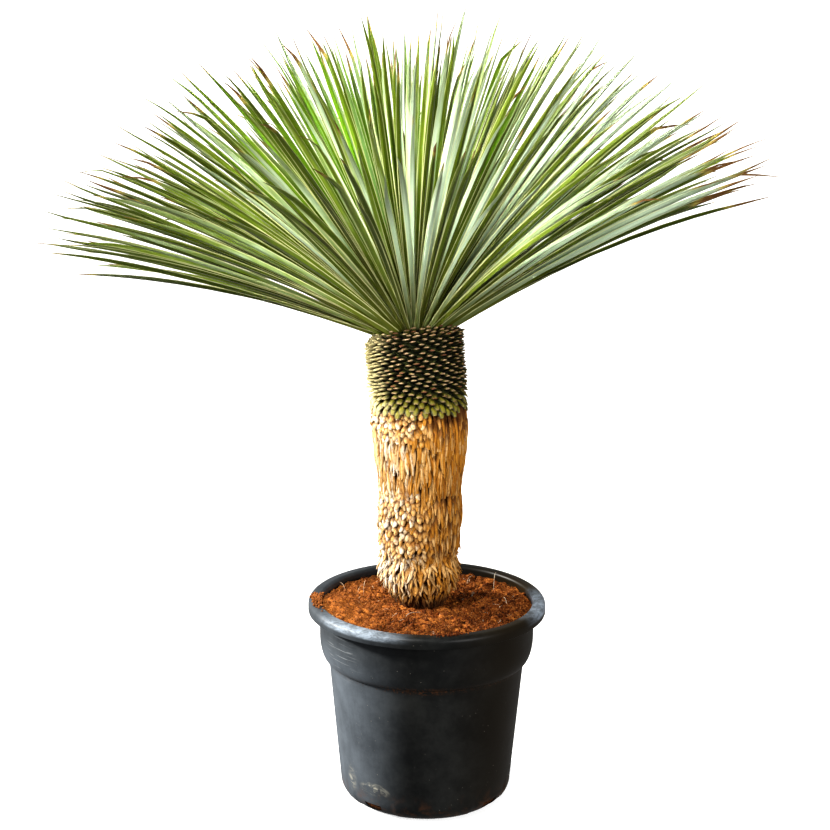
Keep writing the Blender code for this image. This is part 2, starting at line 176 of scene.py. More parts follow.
@dataclass
class Shell:
    """Points and faces of one piece, with the named values that its finish reads.

    Attributes:
        points: Places of the vertices, shape (count, 3).
        faces: Arrays of corner indices, one row a face, each array with its own number of corners.
        values: One number a vertex under each name.
    """

    points: Array
    faces: list[Array]
    values: dict[str, Array] = field(default_factory=dict)

    def join(self, others: Sequence["Shell"]) -> "Shell":
        """One shell of this one and others, in order, with the values that this one names."""
        shells = [self, *others]
        starts = np.cumsum([0] + [len(shell.points) for shell in shells[:-1]])
        faces = [part + start for shell, start in zip(shells, starts) for part in shell.faces]
        values = {name: np.concatenate([shell.values[name] for shell in shells]) for name in self.values}
        return Shell(np.concatenate([shell.points for shell in shells]), faces, values)

    def trimmed(self) -> "Shell":
        """The same shell without the points that no face uses."""
        used = np.unique(np.concatenate([part.ravel() for part in self.faces]))
        place = np.zeros(len(self.points), dtype=int)
        place[used] = np.arange(len(used))
        values = {name: numbers[used] for name, numbers in self.values.items()}
        return Shell(self.points[used], [place[part] for part in self.faces], values)

    def mesh(self, name: str) -> bpy.types.Mesh:
        """The arrays as a mesh, with one float attribute for each named value."""
        corners = np.concatenate([part.ravel() for part in self.faces])
        sizes = np.concatenate([np.full(len(part), part.shape[1]) for part in self.faces])
        starts = np.concatenate([[0], np.cumsum(sizes)[:-1]])
        mesh = bpy.data.meshes.new(name)
        mesh.vertices.add(len(self.points))
        mesh.vertices.foreach_set("co", self.points.astype(np.float32).ravel())
        mesh.loops.add(len(corners))
        mesh.loops.foreach_set("vertex_index", corners.astype(np.int32))
        mesh.polygons.add(len(sizes))
        mesh.polygons.foreach_set("loop_start", starts.astype(np.int32))
        for key, numbers in self.values.items():
            layer = mesh.attributes.new(key, "FLOAT", "POINT")
            layer.data.foreach_set("value", numbers.astype(np.float32))
        mesh.update(calc_edges=True)
        return mesh


def put_piece(name: str, shell: Shell, finish: bpy.types.Material, node: Node,
              sharp: float = 50.0) -> None:
    """Make a shell a shown piece that rides on the plant's body and stands for its CAD node.

    Args:
        name: The piece's name.
        shell: Its points, faces and named values.
        finish: Its material.
        node: The CAD node that it stands for.
        sharp: Angle in degrees above which an edge is shaded sharp.
    """
    mesh = shell.mesh(name)
    mesh.shade_smooth()
    mesh.set_sharp_from_angle(angle=math.radians(sharp))
    mesh.materials.append(finish)
    piece = bpy.data.objects.new(name, mesh)
    bpy.context.scene.collection.objects.link(piece)
    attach(piece, "root")
    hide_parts(node.value)
    triangles = sum(len(part) * (part.shape[1] - 2) for part in shell.faces)
    log.info("%s: %d triangles", name, triangles)


def ring_quads(rings: int, columns: int) -> Array:
    """Faces between each ring of points and the next, shape (rings - 1, columns, 4)."""
    level = (np.arange(rings - 1) * columns)[:, None]
    here = np.arange(columns)[None, :]
    after = (here + 1) % columns
    return np.stack([level + here, level + after, level + columns + after, level + columns + here], axis=-1)


def carry(path: Array, across: Array, out: Array, half_width: Array, half_depth: Array,
          section: Array, tone: Array) -> Shell:
    """Carry one closed section along many paths at once.

    A point is path + across * half_width * section x + out * half_depth * section y. The section
    runs anticlockwise, and it is mirrored on the paths where across, out and the path's own
    direction are left-handed, so that the faces point outwards. Both ends are closed by a face.

    Args:
        path: Places along each piece, shape (pieces, stations, 3).
        across: Widthwise unit vectors, same shape.
        out: Unit vectors through the thickness, same shape.
        half_width: Half the width, shape (pieces, stations).
        half_depth: Half the thickness, shape (pieces, stations).
        section: Corners of the section, shape (corners, 2).
        tone: One random number a piece, for its colour.

    Returns:
        A shell with the values along (0 to 1 from root to end), across (-1 to 1), over (the
        section's y) and tone.
    """
    pieces, stations = path.shape[:2]
    corners = len(section)
    middle = stations // 2
    forward = path[:, min(middle + 1, stations - 1)] - path[:, middle - 1]
    handed = np.sign(np.sum(np.cross(across[:, middle], out[:, middle]) * forward, axis=-1))
    wide = (handed[:, None] * half_width)[:, :, None, None] * section[:, :1]
    deep = half_depth[:, :, None, None] * section[:, 1:]
    points = path[:, :, None] + across[:, :, None] * wide + out[:, :, None] * deep

    first = (np.arange(pieces) * stations * corners)[:, None]
    sides = first[:, None] + ring_quads(stations, corners).reshape(-1, 4)
    start_cap = first + np.arange(corners)[::-1]
    end_cap = first + (stations - 1) * corners + np.arange(corners)
    shape = (pieces, stations, corners)
    parts = {"along": np.linspace(0.0, 1.0, stations)[:, None], "across": section[:, 0],
             "over": section[:, 1], "tone": tone[:, None, None]}
    values = {name: np.broadcast_to(part, shape).ravel() for name, part in parts.items()}
    return Shell(points.reshape(-1, 3), [sides.reshape(-1, 4), start_cap, end_cap], values)


def thread(path: Array, thickness: Array, tone: Array) -> Shell:
    """A three-cornered thread along each path, of half a thickness that shrinks at both ends."""
    ahead = unit(np.gradient(path, axis=1))
    across = unit(np.cross(ahead, np.array([0.13, 0.21, 0.97])))
    out = np.cross(ahead, across)
    stations = path.shape[1]
    taper = 0.35 + 0.65 * np.sin(np.linspace(0.15, math.pi - 0.15, stations))
    half = thickness[:, None] * taper[None, :]
    section = np.array([(1.0, -0.6), (0.0, 1.1), (-1.0, -0.6)])
    return carry(path, across, out, half, half, section, tone)


def turned(points: Array) -> Shell:
    """A shell over a column of rings, whose first and last rings are filled.

    Args:
        points: Ring points, shape (rings, columns, 3), whose rings run anticlockwise from above
            and go down an outer side.

    Returns:
        The closed shell.
    """
    rings, columns = points.shape[:2]
    sides = ring_quads(rings, columns)[..., [0, 3, 2, 1]].reshape(-1, 4)
    top = np.arange(columns)[None, :]
    return Shell(points.reshape(-1, 3), [sides, top, (rings - 1) * columns + top[:, ::-1]])


# Finishes


class Board:
    """A material's node tree, with short ways to add nodes and join them."""

    def __init__(self, name: str) -> None:
        """Start a named material with a Principled shader."""
        self.material = bpy.data.materials.new(name)
        self.material.use_nodes = True
        self.tree = self.material.node_tree
        self.shader = self.tree.nodes["Principled BSDF"]
        self.place = self.tree.nodes.new("ShaderNodeTexCoord").outputs["Object"]

    def feed(self, socket: Socket, value: Value) -> None:
        """Link a socket to another, or set it to a plain value."""
        if isinstance(value, bpy.types.NodeSocket):
            self.tree.links.new(value, socket)
        elif isinstance(value, tuple) and len(value) == 3 and socket.type == "RGBA":
            socket.default_value = (*value, 1.0)
        else:
            socket.default_value = value

    def named(self, name: str) -> Socket:
        """The piece's own value of that name."""
        node = self.tree.nodes.new("ShaderNodeAttribute")
        node.attribute_name = name
        return node.outputs["Fac"]

    def maths(self, operation: str, first: Value, second: Value = 0.0, third: Value = 0.0) -> Socket:
        """A Math node's result for up to three values."""
        node = self.tree.nodes.new("ShaderNodeMath")
        node.operation = operation
        for socket, value in zip(node.inputs, (first, second, third)):
            self.feed(socket, value)
        return node.outputs[0]

    def times(self, first: Value, *others: Value) -> Socket:
        """The product of several values."""
        for value in others:
            first = self.maths("MULTIPLY", first, value)
        return first

    def plus(self, first: Value, second: Value) -> Socket:
        """The sum of two values."""
        return self.maths("ADD", first, second)

    def minus(self, first: Value, second: Value) -> Socket:
        """The first value less the second."""
        return self.maths("SUBTRACT", first, second)

    def off(self, value: Value, mark: float = 0.0) -> Socket:
        """How far a value is from a mark, on either side."""
        return self.maths("ABSOLUTE", self.minus(value, mark))

    def scaled(self, value: Value, gain: float, start: Value) -> Socket:
        """A value times a gain, counted from a start."""
        return self.maths("MULTIPLY_ADD", value, gain, start)

    def span(self, value: Socket, low: float, high: float, start: float = 0.0, end: float = 1.0) -> Socket:
        """A smooth change from start to end while a value goes from low to high."""
        node = self.tree.nodes.new("ShaderNodeMapRange")
        node.interpolation_type = "SMOOTHSTEP"
        for socket, number in zip(node.inputs, (value, low, high, start, end)):
            self.feed(socket, number)
        return node.outputs[0]

    def stretched(self, scale: Scale, place: Optional[Socket] = None) -> Socket:
        """Coordinates multiplied by a scale along each axis."""
        node = self.tree.nodes.new("ShaderNodeMapping")
        self.feed(node.inputs["Vector"], place or self.place)
        node.inputs["Scale"].default_value = scale
        return node.outputs[0]

    def parts(self) -> list[Socket]:
        """The x, y and z of the object's own coordinates."""
        node = self.tree.nodes.new("ShaderNodeSeparateXYZ")
        self.feed(node.inputs[0], self.place)
        return list(node.outputs)

    def noise(self, scale: float, detail: float = 2.0, place: Optional[Socket] = None,
              rough: float = 0.5, warp: float = 0.0) -> Socket:
        """Fractal noise between 0 and 1.

        Args:
            scale: Cells in a metre of the coordinates.
            detail: Number of finer layers.
            place: Coordinates, or the object's own.
            rough: Strength of the finer layers.
            warp: How far the pattern is bent by itself.

        Returns:
            The socket of the noise.
        """
        node = self.tree.nodes.new("ShaderNodeTexNoise")
        self.feed(node.inputs["Vector"], place or self.place)
        node.inputs["Scale"].default_value = scale
        node.inputs["Detail"].default_value = detail
        node.inputs["Roughness"].default_value = rough
        node.inputs["Distortion"].default_value = warp
        return node.outputs["Fac"]

    def strip_noise(self, scale: Scale, detail: float, rough: float = 0.6,
                    along: Optional[Socket] = None) -> Socket:
        """Noise over a strip's own width and length, which differs from strip to strip.

        Args:
            scale: Cells over half the width, over the length, and over the range of the tones.
            detail: Number of finer layers.
            rough: Strength of the finer layers.
            along: What stands for the place along the strip, or the strip's own value.

        Returns:
            The socket of the noise.
        """
        node = self.tree.nodes.new("ShaderNodeCombineXYZ")
        values = (self.named("across"), along or self.named("along"), self.named("tone"))
        for socket, value, size in zip(node.inputs, values, scale):
            self.feed(socket, self.times(value, size))
        return self.noise(1.0, detail, node.outputs[0], rough)

    def cells(self, scale: float) -> Socket:
        """Distance to the nearest of scattered points, as a share of a cell."""
        node = self.tree.nodes.new("ShaderNodeTexVoronoi")
        self.feed(node.inputs["Vector"], self.place)
        node.inputs["Scale"].default_value = scale
        return node.outputs["Distance"]

    def ramp(self, value: Socket, stops: Stops) -> Socket:
        """A colour that follows a value through stops, each a position and a colour."""
        node = self.tree.nodes.new("ShaderNodeValToRGB")
        self.feed(node.inputs[0], value)
        points = node.color_ramp.elements
        while len(points) < len(stops):
            points.new(0.5)
        for point, (position, colour) in zip(points, stops):
            point.position = position
            point.color = (*colour, 1.0)
        return node.outputs["Color"]

    def blend(self, share: Value, first: Value, second: Value) -> Socket:
        """The first colour, mixed with a share of the second."""
        node = self.tree.nodes.new("ShaderNodeMix")
        node.data_type = "RGBA"
        for number, value in ((0, share), (6, first), (7, second)):
            self.feed(node.inputs[number], value)
        return node.outputs[2]

    def coats(self, colour: Value, *layers: tuple[Value, Value]) -> Socket:
        """A colour with others laid over it.

        Args:
            colour: The lowest colour.
            layers: Pairs of a share and a colour, from the lowest up.

        Returns:
            The socket of the finished colour.
        """
        for share, cover in layers:
            colour = self.blend(share, colour, cover)
        return colour

    def near(self, centre: Place, radius: float, squash: Scale = (1.0, 1.0, 1.0)) -> Socket:
        """A soft mask: 1 at a centre and 0 from a radius on, or sooner along squashed axes."""
        off = self.tree.nodes.new("ShaderNodeVectorMath")
        off.operation = "SUBTRACT"
        self.feed(off.inputs[0], self.place)
        off.inputs[1].default_value = centre
        size = self.tree.nodes.new("ShaderNodeVectorMath")
        size.operation = "LENGTH"
        self.feed(size.inputs[0], self.stretched(squash, off.outputs[0]))
        return self.span(size.outputs["Value"], 0.2 * radius, radius, 1.0, 0.0)

    def finish(self, colour: Value, rough: Value, specular: float, height: Optional[Socket] = None,
               depth: float = 0.0, strength: float = 1.0) -> bpy.types.Material:
        """Give the shader its colour, its roughness and a relief.

        Args:
            colour: The surface's colour.
            rough: Its roughness.
            specular: Strength of its plain reflection.
            height: Height of the relief, between 0 and 1, or nothing for a smooth surface.
            depth: Depth of the relief, in metres.
            strength: Share of the relief that shows.

        Returns:
            The material.
        """
        self.feed(self.shader.inputs["Base Color"], colour)
        self.feed(self.shader.inputs["Roughness"], rough)
        self.shader.inputs["Specular IOR Level"].default_value = specular
        if height is not None:
            node = self.tree.nodes.new("ShaderNodeBump")
            node.inputs["Distance"].default_value = depth
            node.inputs["Strength"].default_value = strength
            self.feed(node.inputs["Height"], height)
            self.feed(self.shader.inputs["Normal"], node.outputs[0])
        return self.material


@dataclass(frozen=True)
class PotPlastic:
    """Black moulded plastic with dust, dirt in the crease, scratches and lime, and painted light: a grey
    sheen on its left, highlights on the lip and a warm reflection on its right.
    """

    black: Colour = (0.0045, 0.0048, 0.0048)
    bloom: Colour = (0.0200, 0.0205, 0.0190)
    left_sheen: Colour = (0.110, 0.128, 0.150)
    lip_highlight: Colour = (0.300, 0.350, 0.410)
    warm_reflection: Colour = (0.0100, 0.0060, 0.0012)
    dust: Colour = (0.33, 0.30, 0.25)
    dirt: Colour = (0.110, 0.042, 0.014)
    lime: Colour = (0.40, 0.38, 0.31)
    scuff: Colour = (0.22, 0.23, 0.24)
    crease_height: float = 0.246
    crease_middle: float = -0.015
    lip_height: float = 0.334
    lime_smear: Place = (-0.086, -0.120, 0.0516)
    lime_patch: Place = (-0.125, -0.081, 0.056)
    scuff_place: Place = (-0.140, -0.105, 0.278)
    highlight_front: Place = (-0.120, -0.155, 0.344)
    highlight_right: Place = (0.190, -0.030, 0.344)

    def make(self) -> bpy.types.Material:
        """Build the material."""
        board = Board("moulded_black_plastic")
        aside, back, up = board.parts()
        on_lip = board.span(up, self.lip_height + 0.002, self.lip_height + 0.007)
        cloudy = board.noise(9.0, 9.0, rough=0.72)
        streaks = board.noise(1.0, 4.0, board.stretched((120.0, 120.0, 6.0)))
        # Painted sheen: a grey film on the left front of the wall and on the lip.
        facing = board.maths("MAXIMUM", board.span(back, 0.010, 0.090, 1.0, 0.20), on_lip)
        left_sheen_share = board.times(
            board.span(aside, -0.165, -0.020, 1.0, 0.0), board.span(cloudy, 0.20, 0.70, 0.45, 1.0),
            board.span(streaks, 0.30, 0.70, 0.90, 1.0), board.span(up, 0.250, 0.300, 1.0, 0.45), facing)
        # Painted highlights: pale streaks on the lip at its left front and at its right end.
        lip_highlight_share = board.noise(1.0, 5.0, board.stretched((55.0, 55.0, 160.0)), 0.75, 0.5)
        places = board.scaled(board.near(self.highlight_right, 0.095), 1.2, board.near(self.highlight_front, 0.110))
        lip_highlight_share = board.times(board.span(lip_highlight_share, 0.36, 0.66, 0.30, 1.0), on_lip, places, 0.8)
        grime = board.span(board.noise(45.0, 4.0, rough=0.65), 0.46, 0.70)
        spots = board.span(board.noise(240.0, 3.0, rough=0.6), 0.50, 0.62)
        crease = board.times(
            board.span(board.off(up, self.crease_height), 0.001, 0.010, 1.0, 0.0),
            board.span(board.off(aside, self.crease_middle), 0.02, 0.09, 0.75, 0.15),
            board.maths("MAXIMUM", board.times(grime, 0.5), spots))
        specks = board.times(board.span(board.cells(120.0), 0.030, 0.085, 1.0, 0.0),
                             board.span(board.noise(14.0, 1.0), 0.52, 0.66, 0.0, 0.7))
        lines = board.noise(1.0, 2.0, board.stretched((14.0, 14.0, 420.0)), 0.5, 0.4)
        lines = board.times(board.span(lines, 0.60, 0.68, 0.0, 0.65), board.near(self.scuff_place, 0.060))
        wisps = board.noise(38.0, 6.0, board.stretched((1.0, 1.0, 1.8)), 0.7, 0.9)
        smear = board.near(self.lime_smear, 0.036, (1.0, 1.0, 2.6))
        marks = board.scaled(board.near(self.lime_patch, 0.030, (1.8, 1.8, 1.0)), 0.45, smear)
        marks = board.times(marks, board.span(wisps, 0.42, 0.62, 0.0, 0.9))
        colour = board.coats(
            self.black,
            (board.span(cloudy, 0.35, 0.75), self.bloom),
            # Painted warm reflection on the right side.
            (board.span(aside, 0.02, 0.15, 0.0, 0.9), self.warm_reflection),
            (left_sheen_share, self.left_sheen),
            (lip_highlight_share, self.lip_highlight),
            (crease, self.dirt),
            (board.times(board.span(up, 0.0, 0.060, 0.5, 0.0), grime), self.dirt),
            (specks, self.dust),
            (lines, self.scuff),
            (board.maths("MINIMUM", marks, 0.9), self.lime))
        gloss = board.minus(board.span(cloudy, 0.25, 0.80, 0.40, 0.54),
                            board.span(up, self.lip_height - 0.004, self.lip_height + 0.003, 0.0, 0.04))
        waves = board.scaled(board.noise(900.0, 2.0), 0.06, board.noise(7.0, 2.0))
        return board.finish(colour, gloss, 0.16, waves, 0.0016, 0.5)


@dataclass(frozen=True)
class CoirSoil:
    """Damp red-brown coir, darker between its crumbs, at the front and inside the drain slots, and lighter on
    its left as painted sunlight.
    """

    dark: Colour = (0.010, 0.002, 0.001)
    red: Colour = (0.200, 0.054, 0.008)
    light: Colour = (0.620, 0.225, 0.048)

    def make(self) -> bpy.types.Material:
        """Build the material."""
        board = Board("coir_crumb")
        aside, back, up = board.parts()
        grain = board.noise(230.0, 6.0, rough=0.75)
        mixed = board.plus(board.times(grain, 0.62), board.times(board.noise(34.0, 3.0), 0.38))
        colour = board.coats(
            board.ramp(mixed, ((0.41, self.dark), (0.485, self.red), (0.585, self.light))),
            # Painted sunlight: lighter towards the left.
            (board.span(aside, -0.150, -0.020, 0.45, 0.0), self.light),
            (board.span(back, -0.160, -0.070, 0.40, 0.0), self.dark),
            (board.span(up, 0.200, 0.300, 0.75, 0.0), self.dark))
        return board.finish(colour, board.span(grain, 0.3, 0.7, 1.0, 0.88), 0.1, grain, 0.006)


@dataclass(frozen=True)
class CoirFibre:
    """Loose coir crumbs and fibres, from dark red to pale straw by each one's own tone, more golden on the
    left as painted sunlight.
    """

    dark: Colour = (0.032, 0.007, 0.002)
    red: Colour = (0.220, 0.060, 0.010)
    gold: Colour = (0.480, 0.190, 0.055)
    pale: Colour = (0.850, 0.720, 0.540)

    def make(self) -> bpy.types.Material:
        """Build the material."""
        board = Board("coir_fibre")
        aside, back, _ = board.parts()
        grain = board.noise(500.0, 3.0)
        stops = ((0.0, self.dark), (0.45, self.red), (0.88, self.gold), (0.97, self.pale))
        colour = board.coats(
            board.ramp(board.named("tone"), stops),
            (board.span(grain, 0.35, 0.65, 0.5, 0.0), self.dark),
            # Painted sunlight: more golden towards the left.
            (board.span(aside, -0.150, -0.020, 0.25, 0.0), self.gold),
            (board.span(back, -0.160, -0.070, 0.40, 0.0), self.dark))
        return board.finish(colour, board.span(grain, 0.3, 0.7, 0.98, 0.80), 0.1, grain, 0.0008, 0.8)


@dataclass(frozen=True)
class Straw:
    """Dead leaf bases with fine fibres: cream on the left, partly sun-bleached and partly painted sunlight,
    golden orange on the right, darker at the foot with soil stain and painted shade.
    """

    shade: Colour = (0.070, 0.020, 0.003)
    amber: Colour = (0.310, 0.105, 0.008)
    gold: Colour = (0.470, 0.205, 0.024)
    straw: Colour = (0.620, 0.390, 0.160)
    cream: Colour = (0.790, 0.730, 0.600)
    earth_and_shade: Colour = (0.045, 0.018, 0.008)
    left: float = -0.080
    right: float = 0.030
    foot_shade_low: float = 0.350
    foot_shade_high: float = 0.378

    def make(self) -> bpy.types.Material:
        """Build the material."""
        board = Board("straw_leaf_base")
        along = board.named("along")
        aside, _, up = board.parts()
        streaks = board.strip_noise((2.6, 1.6, 211.0), 3.0)
        notches = board.span(board.strip_noise((0.9, 210.0, 57.0), 2.0, 0.5, up), 0.56, 0.66)
        mixed = board.plus(board.times(board.named("tone"), 0.36), board.times(streaks, 0.46))
        # Paler towards the left: partly sun-bleached, partly painted sunlight.
        mixed = board.plus(mixed, board.span(aside, self.left, self.right, 0.33, 0.0))
        stops = ((0.18, self.amber), (0.42, self.gold), (0.66, self.straw), (0.92, self.cream))
        wander = board.scaled(board.noise(60.0, 2.0), 0.03, -0.015)
        colour = board.coats(
            board.ramp(mixed, stops),
            (board.times(notches, 0.55), self.amber),
            (board.span(along, 0.05, 0.45, 0.90, 0.0), self.shade),
            (board.span(board.off(board.named("across")), 0.62, 0.98, 0.0, 0.72), self.shade),
            (board.span(board.noise(38.0, 4.0), 0.58, 0.72, 0.0, 0.5), self.amber),
            # Darker at the foot: soil stain and painted shade where the strips meet the soil.
            (board.span(board.plus(up, wander), self.foot_shade_low, self.foot_shade_high, 0.9, 0.0), self.earth_and_shade))
        rough = board.span(streaks, 0.3, 0.7, 0.66, 0.88)
        return board.finish(colour, rough, 0.18, board.minus(streaks, notches), 0.0009, 0.8)


@dataclass(frozen=True)
class DarkFibre:
    """The fibrous surface seen between the pieces that cover it, coloured dark as painted shade in the gaps.

    Attributes:
        name: The material's name.
        dark: Its darkest colour.
        light: Its lightest colour.
        scale: Cells of its grain in a metre along each axis.
        detail: Number of finer layers of the grain.
        stops: Values of the grain at which the two colours stand.
        smooth: Roughness where the grain is high.
        strength: Share of the grain's relief that shows.
    """

    name: str
    dark: Colour
    light: Colour
    scale: Scale
    detail: float
    stops: Span
    smooth: float
    strength: float

    def make(self) -> bpy.types.Material:
        """Build the material."""
        board = Board(self.name)
        grain = board.noise(1.0, self.detail, board.stretched(self.scale))
        colour = board.ramp(grain, ((self.stops[0], self.dark), (self.stops[1], self.light)))
        rough = board.span(grain, 0.3, 0.7, 1.0, self.smooth)
        return board.finish(colour, rough, 0.1, grain, 0.002, self.strength)


# Both dark fibres are painted shade, seen in the gaps between the strips, the bases and the leaves.
TRUNK_FIBRE = DarkFibre(
    name="trunk_fibre", dark=(0.022, 0.007, 0.002), light=(0.110, 0.040, 0.010),
    scale=(300.0, 300.0, 60.0), detail=5.0, stops=(0.35, 0.70), smooth=0.9, strength=0.9)
HEART_GREEN = DarkFibre(
    name="leaf_heart", dark=(0.008, 0.010, 0.003), light=(0.045, 0.052, 0.016),
    scale=(180.0, 180.0, 180.0), detail=3.0, stops=(0.40, 0.72), smooth=0.85, strength=0.8)


@dataclass(frozen=True)
class GreenBase:
    """Cut green leaf bases: dark green bodies, tan cut ends, yellow-green where they hang, painted shade at
    their sides and roots, a painted highlight on their upper sides and painted sunlight on the left.
    """

    deep: Colour = (0.005, 0.006, 0.002)
    green: Colour = (0.024, 0.027, 0.004)
    lime: Colour = (0.175, 0.152, 0.006)
    rim: Colour = (0.230, 0.190, 0.050)
    tan: Colour = (0.290, 0.200, 0.105)
    rust: Colour = (0.140, 0.050, 0.020)
    sunlit_tan: Colour = (0.620, 0.545, 0.280)
    left: float = -0.100
    right: float = -0.055

    def make(self) -> bpy.types.Material:
        """Build the material."""
        board = Board("cut_green_base")
        along, hang = board.named("along"), board.named("hang")
        streaks = board.strip_noise((2.2, 1.2, 173.0), 3.0)
        # Share along a base past the painted shade at its root, which is longer where it hangs.
        lit = board.minus(along, board.scaled(hang, -0.22, 0.70))
        # Painted highlight on each base's upper side near its cut end, less where it hangs.
        upper_highlight = board.times(board.span(along, 0.72, 0.98), board.scaled(hang, -0.35, 0.65),
                             board.span(board.named("over"), -0.35, 0.35))
        ends = board.times(board.span(board.scaled(streaks, 0.10, along), 0.95, 1.04),
                           board.scaled(hang, -0.75, 1.0))
        cut = board.coats(self.rust, (board.span(board.named("tone"), 0.10, 0.45), self.tan),
                          (board.span(streaks, 0.45, 0.70, 0.0, 0.6), self.rust))
        # Painted sunlight: paler towards the left, on the outer part of each base.
        left_sunlight = board.times(board.span(board.parts()[0], self.left, self.right, 0.7, 0.0),
                             board.span(along, 0.45, 0.85))
        colour = board.coats(
            self.green,
            (board.times(hang, 0.9), self.lime),
            (board.span(streaks, 0.40, 0.75, 0.0, 0.45), self.lime),
            # Painted shade: darker at each base's sides and towards its root, where its neighbours cover it.
            (board.span(board.off(board.named("across")), 0.32, 0.88, 0.0, 0.90), self.deep),
            (board.span(lit, -0.35, 0.10, 1.0, 0.0), self.deep),
            (upper_highlight, self.rim),
            (ends, cut),
            (left_sunlight, self.sunlit_tan))
        return board.finish(colour, board.span(streaks, 0.3, 0.7, 0.50, 0.72), 0.3, streaks, 0.0008, 0.7)


@dataclass(frozen=True)
class LeafBlade:
    """Grey-green blades with fine ribs, thin yellow margins and dried brown tips; their pale bloom is
    glaucous wax and painted sheen, and the green of new leaves carries a painted glow.

    Light that comes through a blade is a warmer, stronger green than the light it sends back.
    """

    umber: Colour = (0.032, 0.044, 0.002)
    olive: Colour = (0.082, 0.120, 0.005)
    grey: Colour = (0.215, 0.290, 0.030)
    bloom: Colour = (0.660, 0.800, 0.590)
    young_glow: Colour = (0.135, 0.320, 0.008)
    base: Colour = (0.105, 0.118, 0.014)
    margin: Colour = (0.820, 0.820, 0.400)
    dried: Colour = (0.095, 0.045, 0.010)
    straw: Colour = (0.220, 0.170, 0.040)
    dim: Colour = (0.060, 0.100, 0.005)
    through: Colour = (0.300, 0.540, 0.040)
    through_share: float = 0.15

    def make(self) -> bpy.types.Material:
        """Build the material."""
        board = Board("yucca_blade")
        along = board.named("along")
        ribs = board.strip_noise((7.0, 1.5, 311.0), 2.0)
        cloud = board.strip_noise((0.5, 6.0, 97.0), 3.0)
        spots = board.strip_noise((0.8, 22.0, 57.0), 2.0, 0.5)
        mixed = board.plus(board.times(board.named("tone"), 0.75), board.times(cloud, 0.25))
        # The pale end, bloom, is glaucous wax and painted sheen, which each leaf's tone lays on the leaves
        # that face the light.
        stops = ((0.20, self.umber), (0.38, self.olive), (0.52, self.grey), (0.66, self.bloom))
        edge = board.times(board.span(board.off(board.named("across")), 0.72, 0.90),
                           board.span(along, 0.45, 0.80, 0.9, 0.25))
        past = board.minus(board.minus(along, board.named("tip")), 0.025)
        ragged = board.scaled(ribs, 0.05, past)
        colour = board.coats(
            board.ramp(mixed, stops),
            # New-leaf green, with a painted glow of light through the leaves.
            (board.named("fresh_glow"), self.young_glow),
            (board.span(ribs, 0.40, 0.65, 0.0, 0.40), self.olive),
            (board.span(along, 0.06, 0.50, 0.92, 0.0), self.base),
            (board.span(along, 0.54, 0.90, 0.0, 0.72), self.umber),
            (edge, self.margin),
            (board.span(spots, 0.73, 0.80, 0.0, 0.7), self.dried),
            (board.span(ragged, -0.03, 0.0), self.straw),
            (board.span(ragged, 0.0, 0.02), self.dried))
        rough = board.plus(board.span(ribs, 0.3, 0.7, 0.30, 0.46),
                           board.span(ragged, -0.03, 0.0, 0.0, 0.35))
        board.finish(colour, rough, 0.20, ribs, 0.0005, 0.6)
        glow = board.coats(
            self.dim,
            (board.span(mixed, 0.25, 0.60), self.through),
            (board.span(along, 0.50, 0.86, 0.0, 0.60), self.dim),
            (board.span(ragged, -0.03, 0.02), self.dried))
        lit = board.tree.nodes.new("ShaderNodeBsdfTranslucent")
        board.feed(lit.inputs["Color"], glow)
        both = board.tree.nodes.new("ShaderNodeMixShader")
        both.inputs[0].default_value = self.through_share
        board.feed(both.inputs[1], board.shader.outputs[0])
        board.feed(both.inputs[2], lit.outputs[0])
        board.feed(board.tree.nodes["Material Output"].inputs["Surface"], both.outputs[0])
        return board.material


@dataclass(frozen=True)
class PaleFloor:
    """A plain pale studio floor with a faint unevenness, lit a little from below."""

    pale: Colour = (0.74, 0.74, 0.74)
    white: Colour = (0.78, 0.78, 0.78)
    specular: float = 0.5
    glow: float = 0.60

    def make(self) -> bpy.types.Material:
        """Build the material."""
        board = Board("pale_floor")
        cloud = board.noise(1.5, 2.0)
        board.shader.inputs["Emission Color"].default_value = (1.0, 1.0, 1.0, 1.0)
        board.shader.inputs["Emission Strength"].default_value = self.glow
        board.material.cycles.emission_sampling = "NONE"
        return board.finish(board.blend(cloud, self.pale, self.white),
                            board.span(cloud, 0.3, 0.7, 0.85, 0.95), self.specular)


# The pot


